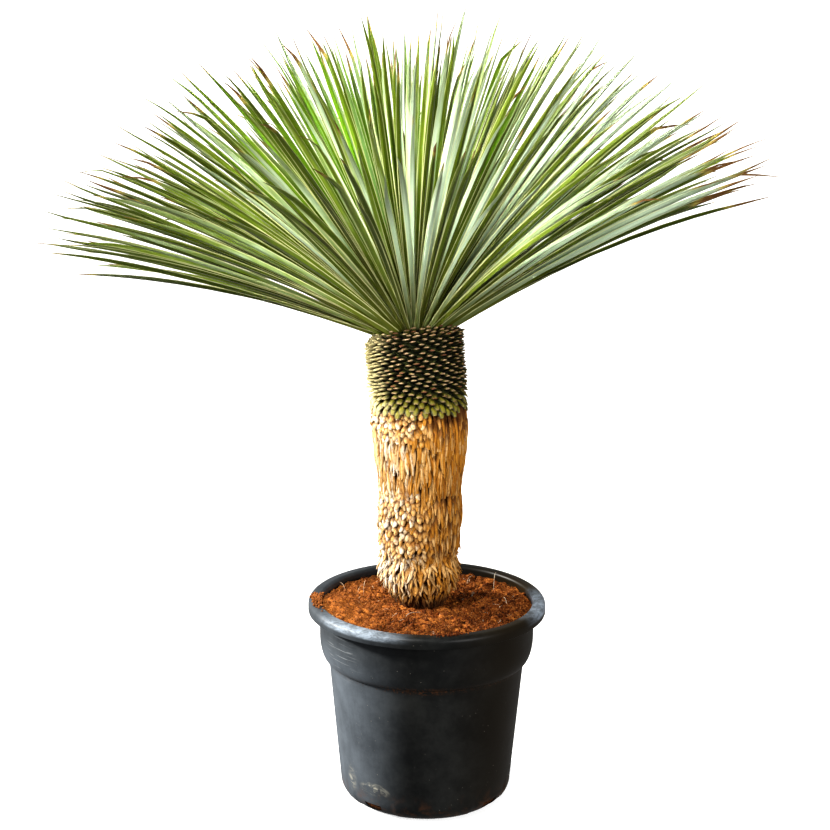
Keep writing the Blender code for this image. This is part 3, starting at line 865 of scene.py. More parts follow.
@dataclass
class NurseryPot:
    """A thin moulded pot: rolled lip, straight band, shoulder, tapering wall and slotted foot.

    Attributes:
        lip_drop: How far the lip's skirt reaches down from the top.
        lip_round: Radius of the lip's outer edge, and mouth_round that of its inner edge.
        band_radius: Radius of the straight band between the lip and the shoulder.
        crease_radius: Radius of the crease where the shoulder meets the wall.
        foot_round: Radius of the quarter circle between the floor and the wall.
        columns: Faces round the pot, of which slot_columns lie across a slot.
        floor_rows: Rows of faces under the floor, then foot_rows up to a slot and slot_rows beside it.
        slot_angle: Direction of a slot's middle.
        panel_depth: How far the panel over each slot is pressed in, up to the height panel_top.
        panel_half: Half a panel's width, in radians.
    """

    rim_radius: float = 0.200
    height: float = 0.350
    wall: float = 0.003
    lip_drop: float = 0.020
    lip_round: float = 0.009
    mouth_round: float = 0.006
    band_radius: float = 0.1805
    shoulder_height: float = 0.2875
    crease_radius: float = 0.1655
    crease_height: float = 0.246
    foot_radius: float = 0.145
    foot_round: float = 0.032
    columns: int = 256
    floor_rows: int = 4
    foot_rows: int = 4
    slot_rows: int = 6
    slot_count: int = 4
    slot_angle: float = math.radians(231.0)
    slot_columns: int = 10
    slot_low: float = 0.004
    slot_high: float = 0.022
    panel_depth: float = 0.0016
    panel_half: float = 0.30
    panel_top: float = 0.040

    def outer_profile(self) -> Array:
        """The outer side in (radius, height), from the floor's centre up to the lip's underside.

        The foot is a quarter circle, the wall a straight line and the shoulder a quarter ellipse
        that bulges out of the crease, whose ends are eased into their neighbours.

        Returns:
            Points with shape (count, 2).
        """
        middle, base = self.foot_round, self.foot_radius - self.foot_round
        low = math.asin((self.slot_low - middle) / middle)
        high = math.asin((self.slot_high - middle) / middle)
        turns = np.concatenate([
            np.linspace(-math.pi / 2.0, low, self.foot_rows + 1)[:-1],
            np.linspace(low, high, self.slot_rows + 1)[:-1], np.linspace(high, 0.0, 4)])
        foot = arc(base, middle, turns, middle, middle)
        floor = np.linspace((0.001, 0.0), (base, 0.0), self.floor_rows + 1)[:-1]
        top = np.array([[self.crease_radius - 0.0008, self.crease_height - 0.004]])
        wall = foot[-1] + (top - foot[-1]) * np.linspace(0.0, 1.0, 16)[1:-1, None]
        bulge = arc(self.crease_radius, self.shoulder_height, np.linspace(-math.pi / 2.0, 0.0, 12),
                    self.band_radius - self.crease_radius, self.shoulder_height - self.crease_height)
        heights = np.linspace(self.shoulder_height, self.height - self.wall - 0.004, 6)[1:]
        band = np.stack([np.full(5, self.band_radius), heights], axis=-1)
        return np.concatenate([floor, foot, wall, top, bulge, band])

    def moved_in(self, depth: float) -> Array:
        """The outer side moved inwards by a depth along its own normal, and run backwards."""
        outer = self.outer_profile()
        step = np.gradient(outer, axis=0)
        return (outer - depth * unit(np.stack([step[:, 1], -step[:, 0]], axis=-1)))[::-1]

    def lip_profile(self) -> Array:
        """The lip in (radius, height), from its underside round its skirt and over to the mouth."""
        quarter, half = math.pi / 2.0, self.wall / 2.0
        under = self.height - self.wall
        inner = self.lip_round - self.wall
        fillet = np.array([[self.band_radius + 0.001, under - 0.001], [self.band_radius + 0.005, under]])
        outer, mouth = self.lip_round, self.mouth_round
        bends = [
            (self.rim_radius - self.wall - inner, under - inner, (quarter, 0.0, 4), inner),
            (self.rim_radius - half, self.height - self.lip_drop + half, (math.pi, 2.0 * math.pi, 6), half),
            (self.rim_radius - outer, self.height - outer, (0.0, quarter, 9), outer),
            (self.band_radius - self.wall + mouth, self.height - mouth, (quarter, math.pi, 7), mouth),
        ]
        arcs = [arc(x, y, np.linspace(*turns), size, size) for x, y, turns, size in bends]
        return np.concatenate([fillet, *arcs])

    def build(self) -> Shell:
        """Turn the whole section round the pot's axis and open the slots.

        The section is the outer side, the lip, and the outer side moved in by the wall along its
        own normal and run backwards. A shallow panel is pressed in over each slot. The faces of
        both sides inside a slot are left out, and its rims are closed between the two sides.

        Returns:
            The pot as one closed shell.
        """
        outer, inner = self.outer_profile(), self.moved_in(self.wall)
        inner[-1, 0] = outer[0, 0]
        section = np.concatenate([outer, self.lip_profile(), inner])
        pitch = 2.0 * math.pi / self.columns
        angle = self.slot_angle + (np.arange(self.columns) - self.slot_columns / 2.0) * pitch
        radius = np.broadcast_to(section[:, :1], (len(section), self.columns)).copy()
        height = np.broadcast_to(section[:, 1:], radius.shape)
        spacing = 2.0 * math.pi / self.slot_count
        off_slot = np.abs((angle - self.slot_angle + spacing / 2.0) % spacing - spacing / 2.0)
        beside = 1.0 - ease(off_slot, self.panel_half - 0.02, self.panel_half + 0.02)
        below = 1.0 - ease(height, self.panel_top - 0.004, self.panel_top + 0.003)
        shrink = ease(radius, 0.105, 0.125)
        radius -= self.panel_depth * beside[None, :] * below * shrink
        points = radius[..., None] * outward(angle)
        points[..., 2] = height

        last = len(section) - 1
        level = np.arange(last)[:, None]
        level = np.minimum(level, last - 1 - level)
        slot_start = self.floor_rows + self.foot_rows
        in_rows = (level >= slot_start) & (level < slot_start + self.slot_rows)
        per_slot = self.columns // self.slot_count
        in_columns = np.arange(self.columns) % per_slot < self.slot_columns
        kept = ring_quads(last + 1, self.columns)[~(in_rows & in_columns)]
        ring = np.arange(self.columns)[None, :]
        caps = [ring[:, ::-1], last * self.columns + ring]
        return Shell(points.reshape(-1, 3), [kept, self.slot_rims(last), *caps]).trimmed()

    def slot_rims(self, last: int) -> Array:
        """Faces that close the slots' rims between the two sides of the wall.

        Args:
            last: Number of the section's last ring. A ring's mate on the wall's other side is as
                far from it as the ring is from the first.

        Returns:
            Faces with shape (count, 4).
        """
        def rim(row: Index, column: Index, next_row: Index, next_column: Index) -> Array:
            """Faces between neighbouring points of one side and their mates on the other."""
            corners = ((row, column), (next_row, next_column), (last - next_row, next_column),
                       (last - row, column))
            return np.stack([one * self.columns + other % self.columns for one, other in corners], axis=-1)

        start = self.floor_rows + self.foot_rows
        end = start + self.slot_rows
        steps = np.arange(start, end)
        rims = []
        for first in range(0, self.columns, self.columns // self.slot_count):
            span = first + np.arange(self.slot_columns)
            rims += [rim(row, span, row, span + 1) for row in (start, last - end)]
            far = first + self.slot_columns
            rims += [rim(last - steps, first, last - steps - 1, first), rim(steps, far, steps + 1, far)]
        return np.concatenate(rims)

    def dress(self) -> None:
        """Put the pot into the scene with its finish."""
        put_piece("nursery_pot", self.build(), PotPlastic().make(), Node.POT, 35.0)


# The soil


@dataclass
class SoilBed:
    """Coir that fills the pot, heaped at the left rim, with crumbs, fibres and pale strands on it.

    Attributes:
        pot: The pot that it fills.
        level: Its height over the floor, without heaps.
        clearance: Room between it and the pot's wall.
        heaps: Centre, spread and rise of each broad heap.
        wave: Rise of a low even wave, and wave_pitch its length.
        lumps: Rise, pitch and seed of each size of random lumps.
        crumb_sizes: Smallest and largest radius of a crumb.
        crumb_bumps: Least and most share of it at a corner, and crumb_stretch along each axis.
        spills: Angle, spread, count and pile of the crumbs on the lip.
        pale_share: Share of the fibres that are pale straw.
        strands: Place, run in x and y, and rise of each strand that stands up.
    """

    pot: NurseryPot
    level: float = 0.336
    clearance: float = 0.0003
    heaps: tuple = (
        ((-0.010, -0.075), 0.060, 0.012),
        ((-0.150, -0.030), 0.050, 0.016),
        ((0.090, 0.020), 0.050, 0.003),
        ((0.000, 0.140), 0.060, -0.003),
    )
    wave: float = 0.0016
    wave_pitch: float = 0.036
    lumps: tuple = ((0.0022, 0.014, 3), (0.0019, 0.0062, 4), (0.0012, 0.0031, 5))
    rings: int = 96
    columns: int = 288
    trunk_room: float = 0.050
    crumbs: int = 1900
    crumb_sizes: Span = (0.0008, 0.0030)
    crumb_bumps: Span = (0.6, 1.25)
    crumb_stretch: Span = (0.7, 1.3)
    crumb_tones: Span = (0.00, 0.62)
    spill_sizes: Span = (0.0008, 0.0028)
    spills: tuple = ((math.radians(187.0), 0.20, 240, 0.006), (math.radians(281.0), 0.13, 60, 0.0005))
    fibres: int = 3200
    fibre_lengths: Span = (0.004, 0.018)
    fibre_lifts: Span = (0.0004, 0.0030)
    fibre_halves: Span = (0.00018, 0.00045)
    pale_share: float = 0.012
    strands: tuple = (
        (0.115, 0.075, 0.004, 0.000, 0.034),
        (-0.108, 0.045, 0.004, -0.004, 0.030),
        (-0.140, 0.066, -0.010, 0.004, 0.018),
        (-0.118, 0.060, 0.012, 0.000, 0.016),
        (0.070, 0.110, 0.010, 0.000, 0.016),
        (-0.035, -0.090, 0.024, -0.006, 0.012),
        (0.135, 0.000, -0.006, 0.006, 0.015),
    )
    strand_half: float = 0.00040
    seed: int = 7

    def top(self, x: Array, y: Array) -> Array:
        """Height of the soil's top.

        It is the level, plus broad heaps that fade with the square of the distance, a low wave
        over both axes, and finer random lumps in three sizes.

        Args:
            x: First coordinate of each point.
            y: Second coordinate of each point.

        Returns:
            Heights above the floor.
        """
        height = np.full_like(x, self.level)
        for (centre_x, centre_y), spread, rise in self.heaps:
            height += rise * np.exp(-((x - centre_x) ** 2 + (y - centre_y) ** 2) / spread ** 2)
        turn = 2.0 * math.pi / self.wave_pitch
        height += self.wave * np.sin(turn * (x + 0.4 * y)) * np.sin(turn * (y - 0.3 * x) + 1.0)
        for rise, pitch, seed in self.lumps:
            height += rise * lattice_noise(x, y, pitch, seed)
        return height

    def bed(self) -> Shell:
        """The soil's top, and its sides and bottom inside the pot's wall."""
        inside = self.pot.moved_in(self.pot.wall + self.clearance)
        inside = inside[inside[:, 1] < self.level - 0.012]
        edge = self.pot.band_radius - self.pot.wall - self.clearance
        ring = outward(full_turn(self.columns))
        flat = np.concatenate([[0.002], np.linspace(0.040, edge, self.rings)])[:, None, None] * ring
        flat[..., 2] = self.top(flat[..., 0], flat[..., 1])
        side = inside[:, :1, None] * ring
        side[..., 2] = inside[:, 1:]
        return turned(np.concatenate([flat, side]))

    def scatter(self, draw: np.random.Generator, count: int) -> tuple[Array, Array]:
        """Random places on the soil outside the trunk, even over its area."""
        edge = self.pot.band_radius - self.pot.wall - 0.004
        radius = np.sqrt(draw.uniform(self.trunk_room ** 2, edge ** 2, count))
        angle = draw.uniform(0.0, 2.0 * math.pi, count)
        return radius * np.cos(angle), radius * np.sin(angle)

    def crumb_shell(self) -> Shell:
        """Small rough lumps: a twelve-cornered ball for each, with every corner moved at random.

        Most lie on the soil. Some lie on the lip, at the far left and at the front.

        Returns:
            All the crumbs as one shell, with the value tone.
        """
        draw = np.random.default_rng(self.seed)
        x, y = self.scatter(draw, self.crumbs)
        z = self.top(x, y)
        size = draw.uniform(*self.crumb_sizes, self.crumbs) * draw.uniform(0.5, 1.5, self.crumbs)
        lip = (self.pot.rim_radius + self.pot.band_radius) / 2.0 - 0.001
        for middle, spread, count, piled in self.spills:
            turn = middle + spread * draw.normal(0.0, 0.5, count)
            radius = lip + draw.normal(0.0, 0.0040, count) - 0.003
            x = np.concatenate([x, radius * np.cos(turn)])
            y = np.concatenate([y, radius * np.sin(turn)])
            fade = np.exp(-((turn - middle) / spread) ** 2)
            z = np.concatenate([z, self.pot.height + fade * draw.uniform(0.0, 1.0, count) * piled])
            size = np.concatenate([size, draw.uniform(*self.spill_sizes, count)])
        corners, faces = ball()
        count = len(x)
        rough = corners * draw.uniform(*self.crumb_bumps, (count, len(corners), 1)) * size[:, None, None]
        rough = rough * draw.uniform(*self.crumb_stretch, (count, 1, 3))
        points = rough + np.stack([x, y, z + 0.3 * size], axis=-1)[:, None]
        faces = (np.arange(count) * len(corners))[:, None, None] + faces
        tone = np.repeat(draw.uniform(*self.crumb_tones, count), len(corners))
        return Shell(points.reshape(-1, 3), [faces.reshape(-1, 3)], {"tone": tone})

    def fibre_shell(self) -> Shell:
        """Bent fibres that lie on the soil: each an arc that rises a little above it at its middle."""
        draw = np.random.default_rng(self.seed + 1)
        count = self.fibres
        x, y = self.scatter(draw, count)
        along = np.linspace(-0.5, 0.5, 6)[None, :]
        heading = draw.uniform(0.0, 2.0 * math.pi, count)[:, None]
        bend = draw.normal(0.0, 1.0, count)[:, None]
        length = draw.uniform(*self.fibre_lengths, count)[:, None]
        turn = heading + bend * along
        path_x = x[:, None] + length * along * np.cos(turn)
        path_y = y[:, None] + length * along * np.sin(turn)
        edge = self.pot.band_radius - self.pot.wall - 0.001
        reach = np.maximum(np.hypot(path_x, path_y) / edge, 1.0)
        path_x, path_y = path_x / reach, path_y / reach
        lift = draw.uniform(*self.fibre_lifts, count)[:, None] * (1.0 - 3.2 * along ** 2)
        path = np.stack([path_x, path_y, self.top(path_x, path_y) + lift], axis=-1)
        tone = draw.uniform(0.20, 0.90, count)
        tone[draw.uniform(0.0, 1.0, count) < self.pale_share] = 1.0
        return thread(path, draw.uniform(*self.fibre_halves, count), tone)

    def strand_shell(self) -> Shell:
        """Pale strands that stand up in thin arcs, each from its place, run and rise."""
        along = np.linspace(0.0, 1.0, 8)[None, :]
        x, y, run_x, run_y, rise = np.array(self.strands).T[..., None]
        root = self.top(x, y) - 0.001
        path = np.stack([x + run_x * along ** 2, y + run_y * along ** 2,
                         root + rise * np.sin(along * math.pi / 2.0)], axis=-1)
        count = len(self.strands)
        return thread(path, np.full(count, self.strand_half), np.ones(count))

    def dress(self) -> None:
        """Put the soil and what lies on it into the scene."""
        put_piece("soil_bed", self.bed(), CoirSoil().make(), Node.SOIL, 180.0)
        litter = self.crumb_shell().join([self.fibre_shell(), self.strand_shell()])
        put_piece("soil_litter", litter, CoirFibre().make(), Node.SOIL, 60.0)


# The trunk


class Ending(Enum):
    """How a strip's width runs to its end, as shares at even stations from root to end."""

    BLUNT = (0.80, 0.95, 1.00, 1.00, 0.92, 0.55)
    KNOB = (0.55, 0.70, 0.90, 1.05, 1.08, 0.70)
    DIAMOND = (0.55, 0.80, 1.00, 1.00, 0.78, 0.34)
    TAPERED = (0.90, 1.00, 0.92, 0.78, 0.55, 0.15)


@dataclass(frozen=True)
class StripZone:
    """One band of the trunk's coat.

    Attributes:
        columns: Strips side by side round the trunk.
        rows: Rows of strips, each half a strip round from the one above.
        low: Height of the lowest ends.
        high: Height of the highest ends.
        length: Length of a strip.
        half_width: Half its width.
        half_depth: Half its thickness.
        ending: How its width runs to its end.
        lift: How far its end stands out beyond the trunk's reach.
        spread: Share by which length and width vary.
        slant: Largest sideways drift of an end, in radians round the trunk.
        pale: Added to each strip's tone.
        right_drop: How much further down the strips hang on the trunk's right.
        stagger: Spread of the ends' heights.
        shade: Power that draws the dark of the roots towards the ends.
    """

    columns: int
    rows: int
    low: float
    high: float
    length: float
    half_width: float
    half_depth: float
    ending: Ending
    lift: float
    spread: float
    slant: float
    pale: float
    right_drop: float
    stagger: float
    shade: float


@dataclass
class Trunk:
    """The stem, clad in dead leaf bases that hang down in bands of different strips.

    Attributes:
        foot_x: Place of the axis at the height low, and top_x its place at the height high.
        reaches: Distance of the strips' ends from the axis, at each of the heights.
        core_inset: How far inside the reach the core lies.
        core_foot: The core's largest radius inside the soil, below core_top.
        core_rows: First height, last height and count of the core's rings, from the top down.
        core_bump: Depth of the core's unevenness.
        overhang: How far below its own band a strip on the right may hang.
        rise_share: Part of a strip's length over which it comes out of the core.
        right_span: Cosines of the directions between which the left turns into the right.
        combed_drop: Drop from which a band counts as combed down on the right.
        combed_flat: Share of its lift that a combed strip loses, and combed_narrow of its width.
        drops: Least and most of the band's drop that a strip takes.
        lifts: Least and most of the band's lift that a strip takes.
        stray_turn: Random shift round the trunk, in strips, and stray_radius away from the axis.
        roll: Random turn of a strip about its own length, in radians.
        depths: Thickness of a strip from root to end, as shares.
        tuck: How far the coat is drawn in on the right, in full at tuck_low and not at tuck_high.
        frays: Count of the loose fibres, which start at heights within fray_starts.
    """

    foot_x: float = -0.009
    top_x: float = -0.0160
    low: float = 0.336
    high: float = 0.682
    heights: tuple = (0.225, 0.345, 0.372, 0.388, 0.403, 0.418, 0.429, 0.438, 0.450, 0.500, 0.518, 0.533,
                      0.545, 0.590, 0.640, 0.655, 0.669, 0.690)
    reaches: tuple = (0.0400, 0.0470, 0.0590, 0.0665, 0.0690, 0.0655, 0.0640, 0.0680, 0.0705, 0.0705,
                      0.0690, 0.0668, 0.0685, 0.0745, 0.0780, 0.0785, 0.0775, 0.0760)
    core_inset: float = 0.0095
    core_foot: float = 0.0462
    core_top: float = 0.35
    core_rows: tuple = ((0.690, 0.350, 90), (0.345, 0.226, 6))
    core_bump: float = 0.0015
    columns: int = 96
    overhang: float = 0.030
    rise_share: float = 0.45
    right_span: Span = (-0.05, 0.55)
    combed_drop: float = 0.02
    combed_flat: float = 0.6
    combed_narrow: float = 0.38
    drops: Span = (0.5, 1.4)
    lifts: Span = (-0.6, 2.0)
    stray_turn: float = 0.11
    stray_radius: float = 0.0011
    roll: float = 0.32
    depths: tuple = (0.60, 1.00, 1.00, 1.00, 0.95, 0.55)
    section: tuple = ((1.0, -0.1), (0.72, 0.65), (0.0, 1.0), (-0.72, 0.65), (-1.0, -0.1), (0.0, -0.6))
    tuck: float = 0.006
    tuck_low: float = 0.430
    tuck_high: float = 0.540
    zones: tuple = (
        StripZone(
            columns=46, rows=9, low=0.634, high=0.688, length=0.015, half_width=0.0043, half_depth=0.0042,
            ending=Ending.KNOB, lift=0.0034, spread=0.18, slant=0.030, pale=0.00, right_drop=0.048,
            stagger=0.0019, shade=2.6),
        StripZone(
            columns=76, rows=8, low=0.526, high=0.634, length=0.044, half_width=0.0026, half_depth=0.0036,
            ending=Ending.BLUNT, lift=0.0014, spread=0.30, slant=0.015, pale=-0.03, right_drop=0.010,
            stagger=0.0120, shade=1.2),
        StripZone(
            columns=40, rows=17, low=0.430, high=0.546, length=0.015, half_width=0.0048, half_depth=0.0040,
            ending=Ending.DIAMOND, lift=0.0028, spread=0.15, slant=0.020, pale=0.06, right_drop=0.032,
            stagger=0.0015, shade=2.2),
        StripZone(
            columns=62, rows=8, low=0.366, high=0.430, length=0.023, half_width=0.0033, half_depth=0.0020,
            ending=Ending.TAPERED, lift=0.0045, spread=0.35, slant=0.120, pale=0.24, right_drop=0.000,
            stagger=0.0030, shade=1.3),
        StripZone(
            columns=50, rows=2, low=0.346, high=0.364, length=0.020, half_width=0.0024, half_depth=0.0013,
            ending=Ending.TAPERED, lift=0.0010, spread=0.30, slant=0.150, pale=-0.20, right_drop=0.000,
            stagger=0.0020, shade=1.0),
    )
    frays: int = 240
    fray_starts: Span = (0.37, 0.66)
    fray_lengths: Span = (0.010, 0.030)
    fray_half: float = 0.0004
    seed: int = 11

    def centre(self, height: Array) -> Array:
        """Place of the trunk's axis at each height, which moves evenly to the left."""
        share = np.clip((height - self.low) / (self.high - self.low), 0.0, None)
        return np.stack([self.foot_x + (self.top_x - self.foot_x) * share, 0.0 * height, height], axis=-1)

    def reach(self, height: Array) -> Array:
        """Radius of the strips' ends at each height."""
        return np.interp(height, self.heights, self.reaches)

    def core(self) -> Shell:
        """The dark surface under the strips, a set distance inside their reach."""
        height = np.concatenate([np.linspace(*rows) for rows in self.core_rows])
        angle = full_turn(self.columns)
        radius = (self.reach(height) - self.core_inset)[:, None] * np.ones(self.columns)
        inside = (height > self.core_top)[:, None]
        radius += inside * self.core_bump * lattice_noise(
            angle[None, :] * 0.07 + 0.0 * radius, height[:, None] + 0.0 * radius, 0.009, 8)
        radius = np.where(inside, radius, np.minimum(radius, self.core_foot))
        return turned(self.centre(height)[:, None] + radius[..., None] * outward(angle))

    def strips(self, zone: StripZone, draw: np.random.Generator) -> Shell:
        """One band's strips.

        They stand in rows that climb by one row in a turn, each row half a strip round from the
        one above. A strip starts inside the core, comes out to the trunk's reach over its first
        part and hangs down from there. On the right the ends hang further down, some bands are
        combed into narrower and flatter strips, and the coat is drawn in towards its foot.

        Args:
            zone: The band's sizes.
            draw: Source of random numbers.

        Returns:
            The band as one shell.
        """
        count = zone.columns * zone.rows
        row, column = np.divmod(np.arange(count), zone.columns)
        around = (column + 0.5 * (row % 2)) / zone.columns
        angle = 2.0 * math.pi * (around + draw.normal(0.0, self.stray_turn, count) / zone.columns)
        end = zone.high - (zone.high - zone.low) * (row + around) / zone.rows
        end += draw.normal(0.0, zone.stagger, count)
        length = zone.length * draw.uniform(1.0 - zone.spread, 1.0 + zone.spread, count)
        right = ease(np.cos(angle), *self.right_span)
        room = np.maximum(end - zone.low, 0.0) + self.overhang * draw.uniform(0.0, 1.0, count) * right
        drop = np.minimum(zone.right_drop * right * draw.uniform(*self.drops, count), room)
        end, length = end - drop, length + drop
        along = np.linspace(0.0, 1.0, len(self.depths))[None, :]
        height = np.minimum(end[:, None] + length[:, None] * (1.0 - along), self.high + 0.008)
        rise = np.sin(np.minimum(along / self.rise_share, 1.0) * math.pi / 2.0)
        outer = self.reach(end)[:, None] - zone.half_depth
        outer = outer + (self.reach(height) - self.reach(end)[:, None]) * 0.7
        under = outer - self.core_inset - 0.001
        radius = under + (outer - under) * rise
        combed = right * (zone.right_drop > self.combed_drop)
        lift = zone.lift * (1.0 - self.combed_flat * combed) * draw.uniform(*self.lifts, count)
        radius += lift[:, None] * along ** 2
        radius += draw.normal(0.0, self.stray_radius, count)[:, None]
        radius -= self.tuck * right[:, None] * (1.0 - ease(height, self.tuck_low, self.tuck_high))
        turn = angle[:, None] + draw.uniform(-zone.slant, zone.slant, count)[:, None] * along
        turn += 0.02 * np.sin(along * 5.0 + draw.uniform(0.0, 6.0, count)[:, None])
        away = outward(turn)
        path = self.centre(height) + radius[..., None] * away
        ahead = unit(np.gradient(path, axis=1))
        roll = draw.normal(0.0, self.roll, count)[:, None, None]
        across = unit(np.cross(ahead, away))
        out = np.cross(across, ahead)
        out = out * np.sign(np.sum(out * away, axis=-1, keepdims=True))
        across, out = across * np.cos(roll) + out * np.sin(roll), out * np.cos(roll) - across * np.sin(roll)
        shape = np.array(zone.ending.value)[None, :]
        wide = zone.half_width * draw.uniform(1.0 - zone.spread, 1.0 + zone.spread, count)[:, None]
        wide = wide * (1.0 - self.combed_narrow * combed[:, None])
        thick = zone.half_depth * np.array(self.depths)[None, :]
        thick = thick * draw.uniform(0.8, 1.2, count)[:, None]
        tone = np.clip(draw.uniform(0.0, 1.0, count) + zone.pale, 0.0, 1.0)
        shell = carry(path, across, out, wide * shape, thick, np.array(self.section), tone)
        shell.values["along"] = shell.values["along"] ** zone.shade
        return shell

    def fray_shell(self) -> Shell:
        """Thin loose fibres that stand off the coat."""
        draw = np.random.default_rng(self.seed + 5)
        count = self.frays
        along = np.linspace(0.0, 1.0, 6)[None, :]
        angle = draw.uniform(0.0, 2.0 * math.pi, count)[:, None]
        start = draw.uniform(*self.fray_starts, count)[:, None]
        length = draw.uniform(*self.fray_lengths, count)[:, None]
        radius = self.reach(start) - 0.002 + draw.uniform(0.001, 0.008, count)[:, None] * along ** 2
        turn = angle + draw.normal(0.0, 0.12, count)[:, None] * along
        path = self.centre(start - length * along) + radius[..., None] * outward(turn)
        return thread(path, np.full(count, self.fray_half), draw.uniform(0.3, 1.0, count))

    def dress(self) -> None:
        """Put the trunk's core and coat into the scene."""
        draw = np.random.default_rng(self.seed)
        put_piece("trunk_core", self.core(), TRUNK_FIBRE.make(), Node.TRUNK, 180.0)
        bands = [self.strips(zone, draw) for zone in self.zones]
        coat = bands[0].join([*bands[1:], self.fray_shell()])
        put_piece("dead_leaf_bases", coat, Straw().make(), Node.TRUNK)


# The collar


